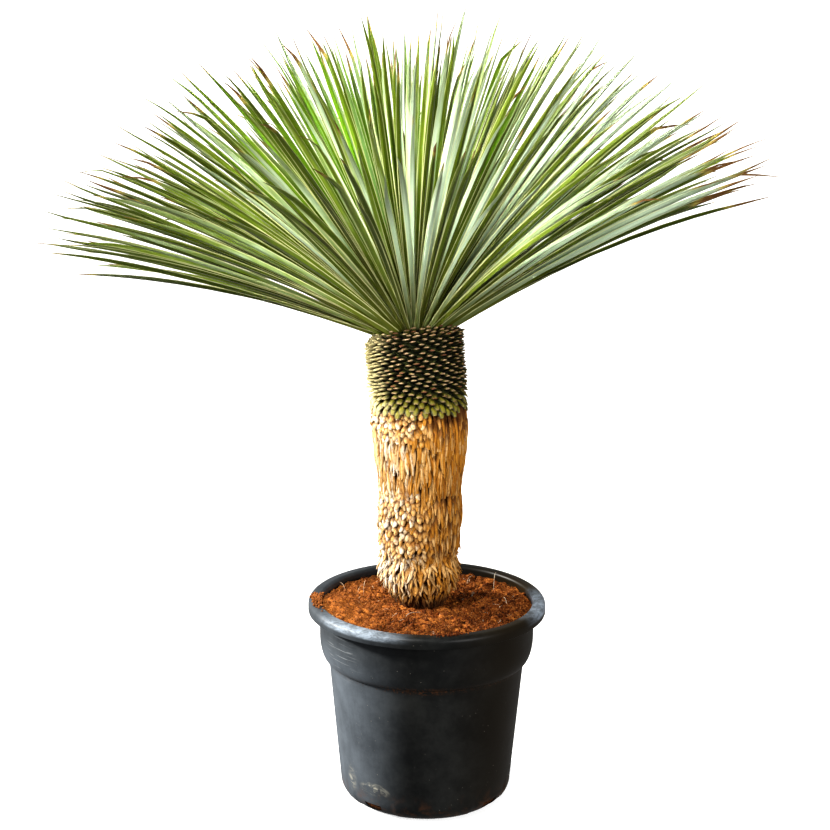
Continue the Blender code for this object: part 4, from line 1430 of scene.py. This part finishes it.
@dataclass
class Collar:
    """Cut green leaf bases in golden-angle spirals on the stem's leaning top.

    Attributes:
        bottom: Centre of the stem where the collar starts, and top where it ends.
        lean_back: How far its top is turned back, and lean_left to the left, in radians.
        reach: Distance of the cut ends from the axis, and fringe_reach that of the hanging ends.
        hanging_share: Share of the collar's length, from below, over which bases hang.
        sizes: Smallest and largest share of its size that a base has.
        length: Length of a base, and hanging_longer what a hanging one has more.
        half_width: Half a base's width, and hanging_narrower what a hanging one has less.
        rise: How far a base points up at its root, in radians.
        cut_fall: How far it bends down to its end, and hanging_fall where it hangs.
        cut_widths: Width of a cut base from root to end, as shares, and cut_depths its thickness.
        shoulder_slopes: Slopes of the shoulder's bases, in degrees, near the middle and at the edge.
        shoulder_run: How far inside the edge the middle ones end, and shoulder_rise how far above.
    """

    bottom: Place = (-0.0160, 0.0, 0.6823)
    top: Place = (-0.0245, 0.0, 0.797)
    lean_back: float = math.radians(13.0)
    lean_left: float = math.radians(9.0)
    core_radius: float = 0.0670
    reach: float = 0.0825
    fringe_reach: float = 0.0800
    hanging_share: float = 0.36
    bases: int = 540
    shoulder_bases: int = 110
    sizes: Span = (0.92, 1.08)
    length: float = 0.0225
    hanging_longer: float = 0.0045
    half_width: float = 0.0071
    hanging_narrower: float = 0.0009
    half_depth: float = 0.0029
    rise: float = math.radians(16.0)
    cut_fall: float = math.radians(14.0)
    hanging_fall: float = math.radians(105.0)
    shoulder_length: float = 0.024
    shoulder_half_width: float = 0.0068
    shoulder_slopes: Span = (38.0, 8.0)
    shoulder_run: float = 0.0165
    shoulder_rise: float = 0.0185
    section: tuple = ((1.0, -0.10), (0.55, 0.72), (0.0, 1.0), (-0.55, 0.72), (-1.0, -0.10),
                      (-0.5, -0.72), (0.5, -0.72))
    cut_widths: tuple = (1.10, 1.08, 1.00, 0.92, 0.82, 0.64)
    cut_depths: tuple = (1.45, 1.35, 1.20, 0.95, 0.70, 0.44)
    hanging_widths: tuple = (0.90, 1.05, 1.12, 1.10, 0.95, 0.50)
    hanging_depths: tuple = (1.00, 1.00, 1.00, 0.95, 0.80, 0.35)
    columns: int = 96
    seed: int = 23

    def frame_at(self, share: Array) -> tuple[Array, Array]:
        """Centres and rotations of the collar's rings at shares of its length."""
        low, high = np.array(self.bottom), np.array(self.top)
        centre = low + (high - low) * share[..., None]
        turns = np.array([lean(self.lean_back * one, self.lean_left * one) for one in share.ravel()])
        return centre, turns.reshape(*share.shape, 3, 3)

    def core(self) -> Shell:
        """The dark green surface between the bases."""
        share = np.linspace(1.0, 0.0, 24)
        centre, turn = self.frame_at(share)
        ring = outward(full_turn(self.columns)) * self.core_radius
        return turned(centre[:, None] + np.einsum("sij,cj->sci", turn, ring))

    def stand(self, share: Array, spun: Array, radius: Array, height: Array, half_width: Array,
              hang: Array, tone: Array) -> Shell:
        """Stand cut bases on the collar.

        Args:
            share: Where on the collar's length the root of each is.
            spun: Angles round the collar along each base, shape (bases, stations).
            radius: Distances from the collar's axis along each base, same shape.
            height: Heights over its root along each base, same shape.
            half_width: Half the width of each, shape (bases, 1).
            hang: How far each one hangs down, from 0 to 1, which also rounds its end.
            tone: One random number a base, for its colour.

        Returns:
            The bases as one shell, with the value hang.
        """
        centre, turn = self.frame_at(share)
        local = radius[..., None] * outward(spun)
        local[..., 2] = height
        path = centre[:, None] + np.einsum("nij,nsj->nsi", turn, local)
        level = np.stack([-np.sin(spun), np.cos(spun), 0.0 * spun], axis=-1)
        across = np.einsum("nij,nsj->nsi", turn, level)
        out = unit(np.cross(across, unit(np.gradient(path, axis=1))))
        out = out * np.where(out[:, :1, 2:] < 0.0, -1.0, 1.0)
        hanging = hang[:, None]
        wide = np.array(self.cut_widths) * (1.0 - hanging) + np.array(self.hanging_widths) * hanging
        thick = np.array(self.cut_depths) * (1.0 - hanging) + np.array(self.hanging_depths) * hanging
        section = np.array(self.section)
        shell = carry(path, across, out, wide * half_width, thick * self.half_depth, section, tone)
        shell.values["hang"] = np.repeat(hang, path.shape[1] * len(section))
        return shell

    def base_shell(self) -> Shell:
        """The bases.

        Each one comes out of the core, rising a little, and ends in a cut across it. In the lowest
        part of the collar it bends down by up to a right angle and ends rounded.

        Returns:
            All the bases as one shell.
        """
        draw = np.random.default_rng(self.seed)
        count = self.bases
        index = np.arange(count)
        angle = index * GOLDEN_ANGLE + draw.normal(0.0, 0.018, count)
        share = 1.0 - ((index + 0.5) / count) ** 0.92 + draw.normal(0.0, 0.002, count)
        share = 0.05 + 0.95 * share
        hang = 1.0 - ease(share, 0.04, self.hanging_share)
        stations = len(self.cut_widths)
        along = np.linspace(0.0, 1.0, stations)[None, :]
        rise = self.rise * (1.0 - hang) + draw.normal(0.0, 0.04, count)
        fall = self.hanging_fall * hang + self.cut_fall * (1.0 - hang)
        pitch = rise[:, None] + 0.35 * hang[:, None] - fall[:, None] * along ** 1.2
        size = draw.uniform(*self.sizes, count)[:, None]
        length = (self.length + self.hanging_longer * hang)[:, None] * size
        out_run, up_run = follow(pitch, length / (stations - 1))
        goal = self.reach + (self.fringe_reach - self.reach) * hang
        goal = goal + draw.normal(0.0, 0.0010, count)
        radius = out_run + (goal - out_run.max(axis=1))[:, None]
        spun = angle[:, None] + draw.normal(0.0, 0.02, count)[:, None] * along
        half_width = (self.half_width - self.hanging_narrower * hang[:, None]) * size
        tone = draw.uniform(0.0, 1.0, count)
        return self.stand(np.clip(share, 0.0, 1.0), spun, radius, up_run, half_width, hang, tone)

    def shoulder_shell(self) -> Shell:
        """The youngest cut bases, which close the step between the collar and the leaves.

        They lie in golden-angle spirals on a low dome over the collar's top. Each one points
        outwards and up along a slope, which is steeper towards the middle.

        Returns:
            The bases as one shell, none of which hangs.
        """
        draw = np.random.default_rng(self.seed + 1)
        count = self.shoulder_bases
        index = np.arange(count)
        angle = index * GOLDEN_ANGLE + draw.normal(0.0, 0.03, count)
        share = (index + 0.5) / count
        steep, flat = self.shoulder_slopes
        slope = np.radians(steep - (steep - flat) * share)[:, None]
        along = np.linspace(0.0, 1.0, len(self.cut_widths))[None, :]
        size = draw.uniform(*self.sizes, count)[:, None]
        run = (self.shoulder_length * size) * (along - 1.0)
        inset = self.shoulder_run * (1.0 - share) ** 1.3
        radius = self.reach - inset + draw.normal(0.0, 0.0007, count)
        radius = radius[:, None] + run * np.cos(slope)
        height = (self.shoulder_rise * (1.0 - share) - 0.001)[:, None] + run * np.sin(slope)
        return self.stand(np.ones(count), angle[:, None] + 0.0 * along, radius, height,
                          self.shoulder_half_width * size, np.zeros(count), draw.uniform(0.0, 1.0, count))

    def dress(self) -> None:
        """Put the collar's core and bases into the scene."""
        put_piece("collar_core", self.core(), HEART_GREEN.make(), Node.COLLAR, 180.0)
        bases = self.base_shell().join([self.shoulder_shell()])
        put_piece("cut_leaf_bases", bases, GreenBase().make(), Node.COLLAR, 55.0)


# The head of leaves


@dataclass
class LeafHead:
    """Four hundred long narrow leaves that spread from a dome, at the same places as in the model.

    Attributes:
        centre: Centre of the dome that the leaves stand on.
        heart_inset: How far inside the dome its own surface lies.
        lowest: Height of the lowest roots on the dome, in radians.
        crowding: Power by which the roots step down the dome.
        length_low: Length of the lowest leaves, and length_top that of the topmost.
        shortest: Least share of its length that a leaf has, and longest the most.
        droop_low: How far the slope of a lowest leaf falls, and droop_top that of a topmost.
        stray: Largest random turn off the root's direction.
        sway: Largest sideways drift, as a share of the length.
        twist: Largest turn of a leaf about its line, and side_twist what the sides have more.
        turn: Direction from which the roots go round, over the angle sector.
        stations: Steps of the fine line that stay, of fine_steps in all.
        half_widths: Half the width at each of the shares width_at, and half_depths at depth_at.
        kinked_share: Share of the leaves that turn aside near the tip.
        kinks_down: Turn down of a kinked leaf's tip in radians, then of another's.
        kinks_aside: Turn sideways of a kinked leaf's tip as a slope, then of another's.
        dried_from: Where a kinked leaf's dried end starts, then another's.
        burnt_from: Where the dried ends start in the bunch of rusty tips, whose directions come
            within burnt_cosine of burnt_azimuth and whose roots are past burnt_share of all.
        breadths: Least and most share of the width that a leaf has.
        fresh_glow_rise: Sines of the roots' heights between which new-leaf green and a painted glow of light
            through the leaves set in.
        plain_tone: Middle of the tones, with lit_side_tone towards lit_azimuth and lit_top_tone above, which
            paint light on the leaves that face the light and shade on the low ones.
    """

    count: int = 400
    seed: int = 41
    centre: Place = (-0.022, 0.0, 0.778)
    dome_radius: float = 0.066
    heart_inset: float = 0.0015
    lowest: float = math.radians(25.0)
    crowding: float = 1.1
    length_low: float = 0.580
    length_top: float = 0.455
    length_power: float = 1.1
    shortest: float = 0.89
    longest: float = 1.05
    droop_low: float = math.radians(15.5)
    droop_top: float = math.radians(6.0)
    droop_spread: float = 0.3
    bend_power: float = 1.3
    stray: float = math.radians(1.8)
    sway: float = 0.04
    twist: float = 0.80
    side_twist: float = 0.55
    turn: float = 0.0
    sector: float = 2.0 * math.pi
    lean_back: float = math.radians(13.0)
    lean_left: float = math.radians(6.0)
    fine_steps: int = 100
    stations: tuple = (0, 4, 10, 20, 32, 44, 56, 66, 75, 82, 88, 93, 97, 100)
    section: tuple = ((1.0, 1.50), (0.0, 0.0), (-1.0, 1.50), (0.0, -0.75))
    width_at: tuple = (0.0, 0.08, 0.28, 0.55, 0.72, 0.84, 0.93, 1.0)
    half_widths: tuple = (0.0042, 0.0033, 0.0037, 0.0048, 0.0047, 0.0037, 0.0021, 0.0002)
    depth_at: tuple = (0.0, 0.3, 0.8, 1.0)
    half_depths: tuple = (0.0026, 0.0023, 0.0016, 0.0002)
    kinked_share: float = 0.13
    kink_places: Span = (0.83, 0.93)
    kink_length: float = 0.08
    kinks_down: tuple[Span, Span] = ((-0.1, 0.6), (-0.12, 0.12))
    kinks_aside: tuple[Span, Span] = ((-0.2, 0.2), (-0.08, 0.08))
    dried_from: tuple[Span, Span] = ((0.88, 0.98), (0.93, 1.07))
    burnt_from: Span = (0.84, 0.92)
    burnt_cosine: float = 0.93
    burnt_share: float = 0.70
    breadths: Span = (0.90, 1.10)
    fresh_glow_rise: Span = (0.72, 0.95)
    fresh_glow_most: float = 0.95
    fresh_glow_shares: Span = (0.4, 2.0)
    plain_tone: float = 0.18
    lit_side_tone: float = 0.28
    lit_top_tone: float = 0.34
    lit_azimuth: float = math.radians(-15.0)
    burnt_azimuth: float = math.radians(-2.0)
    glow_azimuth: float = math.radians(135.0)
    look_seed: int = 77

    def blades(self) -> Shell:
        """The leaves, whose roots follow the golden angle round the dome and step down it.

        Returns:
            All the leaves as one shell, with the values fresh_glow, a share of new-leaf green and painted
            glow of light through the leaves, and tip, the place along the leaf where its dried end starts.
        """
        look = np.random.default_rng(self.look_seed)
        count = self.count
        index = np.arange(count)
        share = ((index + 0.5) / count) ** self.crowding
        azimuth = self.turn + (index * GOLDEN_ANGLE / (2.0 * math.pi)) % 1.0 * self.sector
        root_rise = np.arcsin(1.0 - (1.0 - math.sin(self.lowest)) * share)
        kinked = look.uniform(0.0, 1.0, count) < self.kinked_share

        def either(spans: tuple[Span, Span]) -> Array:
            """A random number for each leaf, from the first span where it is kinked."""
            return np.where(kinked, look.uniform(*spans[0], count), look.uniform(*spans[1], count))

        kink_at = look.uniform(*self.kink_places, count)
        kinks = (kink_at, either(self.kinks_down), either(self.kinks_aside))
        along, line, across, top = self.courses(azimuth, root_rise, *kinks)

        breadth = look.uniform(*self.breadths, count)[:, None]
        wide = np.interp(along, self.width_at, self.half_widths)[None, :] * breadth
        deep = np.interp(along, self.depth_at, self.half_depths)[None, :] * np.ones((count, 1))
        # Painted light: the tone is paler towards the lit side and higher up, and darker, as painted shade,
        # on the low leaves.
        towards = np.cos(azimuth - self.lit_azimuth) * np.cos(root_rise)
        tone = self.plain_tone + self.lit_side_tone * towards + self.lit_top_tone * np.sin(root_rise)
        tone = np.clip(tone + look.uniform(-1.0, 1.0, count) * (0.50 + 0.10 * towards), 0.0, 1.0)
        shell = carry(line, across, top, wide, deep, np.array(self.section), tone)
        shell.values["along"] = np.tile(np.repeat(along, len(self.section)), count)
        tip = either(self.dried_from)
        # New-leaf green on the high leaves, with a painted glow of light through them on the side of the
        # light.
        fresh_glow = ease(np.sin(root_rise), *self.fresh_glow_rise)
        fresh_glow = fresh_glow * (0.5 + 0.5 * np.cos(azimuth - self.glow_azimuth))
        fresh_glow = np.clip(fresh_glow * look.uniform(*self.fresh_glow_shares, count), 0.0, self.fresh_glow_most)
        burnt = (np.cos(azimuth - self.burnt_azimuth) > self.burnt_cosine) & (share > self.burnt_share)
        tip = np.where(burnt, look.uniform(*self.burnt_from, count), tip)
        for name, numbers in (("fresh_glow", fresh_glow), ("tip", tip)):
            shell.values[name] = np.repeat(numbers, len(along) * len(self.section))
        return shell

    def courses(self, azimuth: Array, root_rise: Array, kink_at: Array, kink_down: Array,
                kink_side: Array) -> tuple[Array, Array, Array, Array]:
        """The leaves' lines, and the directions of their widths and faces along them.

        A leaf sets out a little off its root's direction, and its slope falls with a power of the
        share of its length. Summing the steps along that slope gives its line. It drifts sideways
        with the square of the share, and its section turns about the line.

        Args:
            azimuth: Directions of the roots round the dome, before the head leans.
            root_rise: The roots' heights on the dome, in radians.
            kink_at: Where along each leaf its tip turns aside.
            kink_down: How far the tip turns down, in radians.
            kink_side: How far the tip turns aside, as a slope.

        Returns:
            The stations' shares of the length, and the places, widthwise and upward unit vectors
            with shape (leaves, stations, 3).
        """
        draw = np.random.default_rng(self.seed)
        count = self.count
        rise = root_rise + draw.uniform(-self.stray, self.stray, count)
        yaw = draw.uniform(-self.stray, self.stray, count)[:, None]
        low = (math.pi / 2.0 - root_rise) / (math.pi / 2.0 - self.lowest)
        length = self.length_top + (self.length_low - self.length_top) * low ** self.length_power
        length = (length * draw.uniform(self.shortest, self.longest, count))[:, None]
        droop = self.droop_top + (self.droop_low - self.droop_top) * low
        droop *= 1.0 + draw.uniform(-self.droop_spread, self.droop_spread, count)
        sway = draw.uniform(-self.sway, self.sway, count)[:, None]
        twist = draw.uniform(-1.0, 1.0, count)
        twist = self.twist * twist + self.side_twist * np.abs(np.cos(azimuth)) * np.sign(twist)

        fine = np.linspace(0.0, 1.0, self.fine_steps + 1)[None, :]
        kink_at, kink_down, kink_side = (numbers[:, None] for numbers in (kink_at, kink_down, kink_side))
        bent = ease((fine - kink_at) / self.kink_length, 0.0, 1.0)
        slope = rise[:, None] - droop[:, None] * fine ** self.bend_power - kink_down * bent
        out, up = follow(slope, length / self.fine_steps)
        out += self.dome_radius * np.cos(root_rise)[:, None]
        up += self.dome_radius * np.sin(root_rise)[:, None]
        aside = length * (yaw * fine + sway * fine ** 2)
        aside += length * kink_side * np.maximum(fine - kink_at, 0.0)

        at = np.array(self.stations)
        along, out, up, aside, slope = (numbers[:, at] for numbers in (fine, out, up, aside, slope))
        cos_a, sin_a = np.cos(azimuth)[:, None], np.sin(azimuth)[:, None]
        line = np.stack([out * cos_a - aside * sin_a, out * sin_a + aside * cos_a, up], axis=-1)
        level = np.stack([-sin_a + 0.0 * out, cos_a + 0.0 * out, 0.0 * out], axis=-1)
        upward = np.stack([-np.sin(slope) * cos_a, -np.sin(slope) * sin_a, np.cos(slope)], axis=-1)
        roll = (twist[:, None] * np.minimum(1.0, 2.2 * along))[..., None]
        across = level * np.cos(roll) + upward * np.sin(roll)
        top = upward * np.cos(roll) - level * np.sin(roll)
        spin = lean(self.lean_back, self.lean_left)
        return along[0], line @ spin.T + np.array(self.centre), across @ spin.T, top @ spin.T

    def heart(self) -> Shell:
        """The dome that carries the leaves: a ball's cap, turned with the head, over the collar."""
        rise = np.radians(np.linspace(89.0, -14.0, 22))
        local = np.cos(rise)[:, None, None] * outward(full_turn(64))
        local[..., 2] = np.sin(rise)[:, None]
        local *= self.dome_radius - self.heart_inset
        return turned(local @ lean(self.lean_back, self.lean_left).T + np.array(self.centre))

    def dress(self) -> None:
        """Put the heart and the leaves into the scene.

        Finer leaves stand between the model's: all round, and in a bunch low on either side.
        """
        finer = (
            LeafHead(count=64, seed=43, look_seed=79, turn=1.0, length_top=0.465, shortest=0.80),
            LeafHead(count=16, seed=47, look_seed=81, turn=-0.35, sector=0.7, crowding=0.2, length_low=0.590),
            LeafHead(count=11, seed=53, look_seed=83, turn=2.85, sector=0.6, crowding=0.2, length_low=0.575),
        )
        leaves = self.blades().join([head.blades() for head in finer])
        put_piece("leaf_heart", self.heart(), HEART_GREEN.make(), Node.CROWN, 180.0)
        put_piece("leaf_blades", leaves, LeafBlade().make(), Node.CROWN, 28.0)


# The studio


@dataclass(frozen=True)
class Panel:
    """A square area light.

    Attributes:
        name: Its name.
        place: Where it hangs.
        side: Length of its side.
        power: Its power in watts.
        colour: Its colour.
        aim: The place it points at.
        beam: The full angle of its beam, as a grid on the lamp narrows it.
    """

    name: str
    place: Place
    side: float
    power: float
    colour: Colour
    aim: Place
    beam: float = math.pi


@dataclass
class Studio:
    """A pale floor, soft light and the camera at the photograph's angle."""

    camera_place: Place = (-0.0224, -3.6, 1.6142)
    pitch: float = math.radians(14.73)
    roll: float = 0.0076
    focal_pixels: float = 2254.7
    image_pixels: float = 830.0
    sensor: float = 36.0
    clip_end: float = 600.0
    floor_size: float = 400.0
    floor_depth: float = 0.0005
    sky_level: float = 0.32
    key_place: Place = (-2.6, 0.35, 1.3)
    key_colour: Colour = (1.0, 0.97, 0.91)
    key_strength: float = 8.0
    key_softness: float = math.radians(6.0)
    panels: tuple = (
        Panel(name="top_panel", place=(-1.2, -1.5, 2.5), side=0.6, power=90.0,
              colour=(1.0, 1.0, 0.98), aim=(-0.05, 0.0, 1.05)),
        Panel(name="crown_panel", place=(-0.8, -2.2, 2.0), side=0.5, power=5.5,
              colour=(1.0, 1.0, 0.95), aim=(0.0, 0.0, 1.26), beam=math.radians(26.0)),
        Panel(name="front_panel", place=(1.8, -2.5, 1.2), side=1.2, power=55.0,
              colour=(1.0, 1.0, 1.0), aim=(0.0, 0.0, 0.6)),
    )
    look: str = "Medium High Contrast"

    def camera(self) -> None:
        """Stand the camera in front of the plant, looking down a little."""
        lens = bpy.data.cameras.new("photo_camera")
        lens.sensor_width = self.sensor
        lens.lens = self.focal_pixels / self.image_pixels * self.sensor
        lens.clip_end = self.clip_end
        camera = bpy.data.objects.new("photo_camera", lens)
        camera.matrix_world = (Matrix.Translation(self.camera_place)
                               @ Matrix.Rotation(math.pi / 2.0 - self.pitch, 4, "X")
                               @ Matrix.Rotation(self.roll, 4, "Z"))
        bpy.context.scene.collection.objects.link(camera)
        bpy.context.scene.camera = camera

    def floor(self) -> None:
        """Lay a large pale floor under the pot, which throws no light back on the plant."""
        half = self.floor_size / 2.0
        line = np.linspace(-half, half, 9)
        x, y = np.meshgrid(line, line, indexing="ij")
        points = np.stack([x, y, np.full_like(x, -self.floor_depth)], axis=-1)
        quads = ring_quads(9, 9)[:, :-1, [0, 3, 2, 1]].reshape(-1, 4)
        mesh = Shell(points.reshape(-1, 3), [quads]).mesh("studio_floor")
        mesh.materials.append(PaleFloor().make())
        floor = bpy.data.objects.new("studio_floor", mesh)
        bpy.context.scene.collection.objects.link(floor)
        floor.visible_diffuse = False
        floor.visible_glossy = False

    @staticmethod
    def hang(light: bpy.types.Light, place: Place, aim: Place) -> None:
        """Hang a light at a place and point it at another."""
        lamp = bpy.data.objects.new(light.name, light)
        lamp.location = place
        lamp.rotation_euler = (Vector(aim) - Vector(place)).to_track_quat("-Z", "Y").to_euler()
        bpy.context.scene.collection.objects.link(lamp)

    def sky(self) -> None:
        """Surround the plant with an even pale light."""
        world = bpy.data.worlds.new("pale_room")
        world.use_nodes = True
        back = world.node_tree.nodes["Background"]
        back.inputs["Color"].default_value = (1.0, 1.0, 1.0, 1.0)
        back.inputs["Strength"].default_value = self.sky_level
        bpy.context.scene.world = world

    def lights(self) -> None:
        """A low key from the left, whose light gets in under the leaves, and panels over the front."""
        self.sky()
        key = bpy.data.lights.new("key_light", "SUN")
        key.energy = self.key_strength
        key.angle = self.key_softness
        key.color = self.key_colour
        self.hang(key, self.key_place, (0.0, 0.0, 0.0))
        for panel in self.panels:
            light = bpy.data.lights.new(panel.name, "AREA")
            light.spread = panel.beam
            light.size = panel.side
            light.energy = panel.power
            light.color = panel.colour
            self.hang(light, panel.place, panel.aim)
        bpy.context.scene.view_settings.view_transform = "Standard"
        bpy.context.scene.view_settings.look = self.look

    def build(self) -> None:
        """Set up the camera, the floor and the lights."""
        self.camera()
        self.floor()
        self.lights()


def main() -> None:
    """Build the studio and dress each part of the plant, from the pot up."""
    logging.basicConfig(level=logging.INFO, format="%(message)s")
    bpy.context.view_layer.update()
    Studio().build()
    pot = NurseryPot()
    for part in (pot, SoilBed(pot), Trunk(), Collar(), LeafHead()):
        part.dress()
        log.info("dressed: %s", type(part).__name__)


if __name__ == "__main__":
    main()
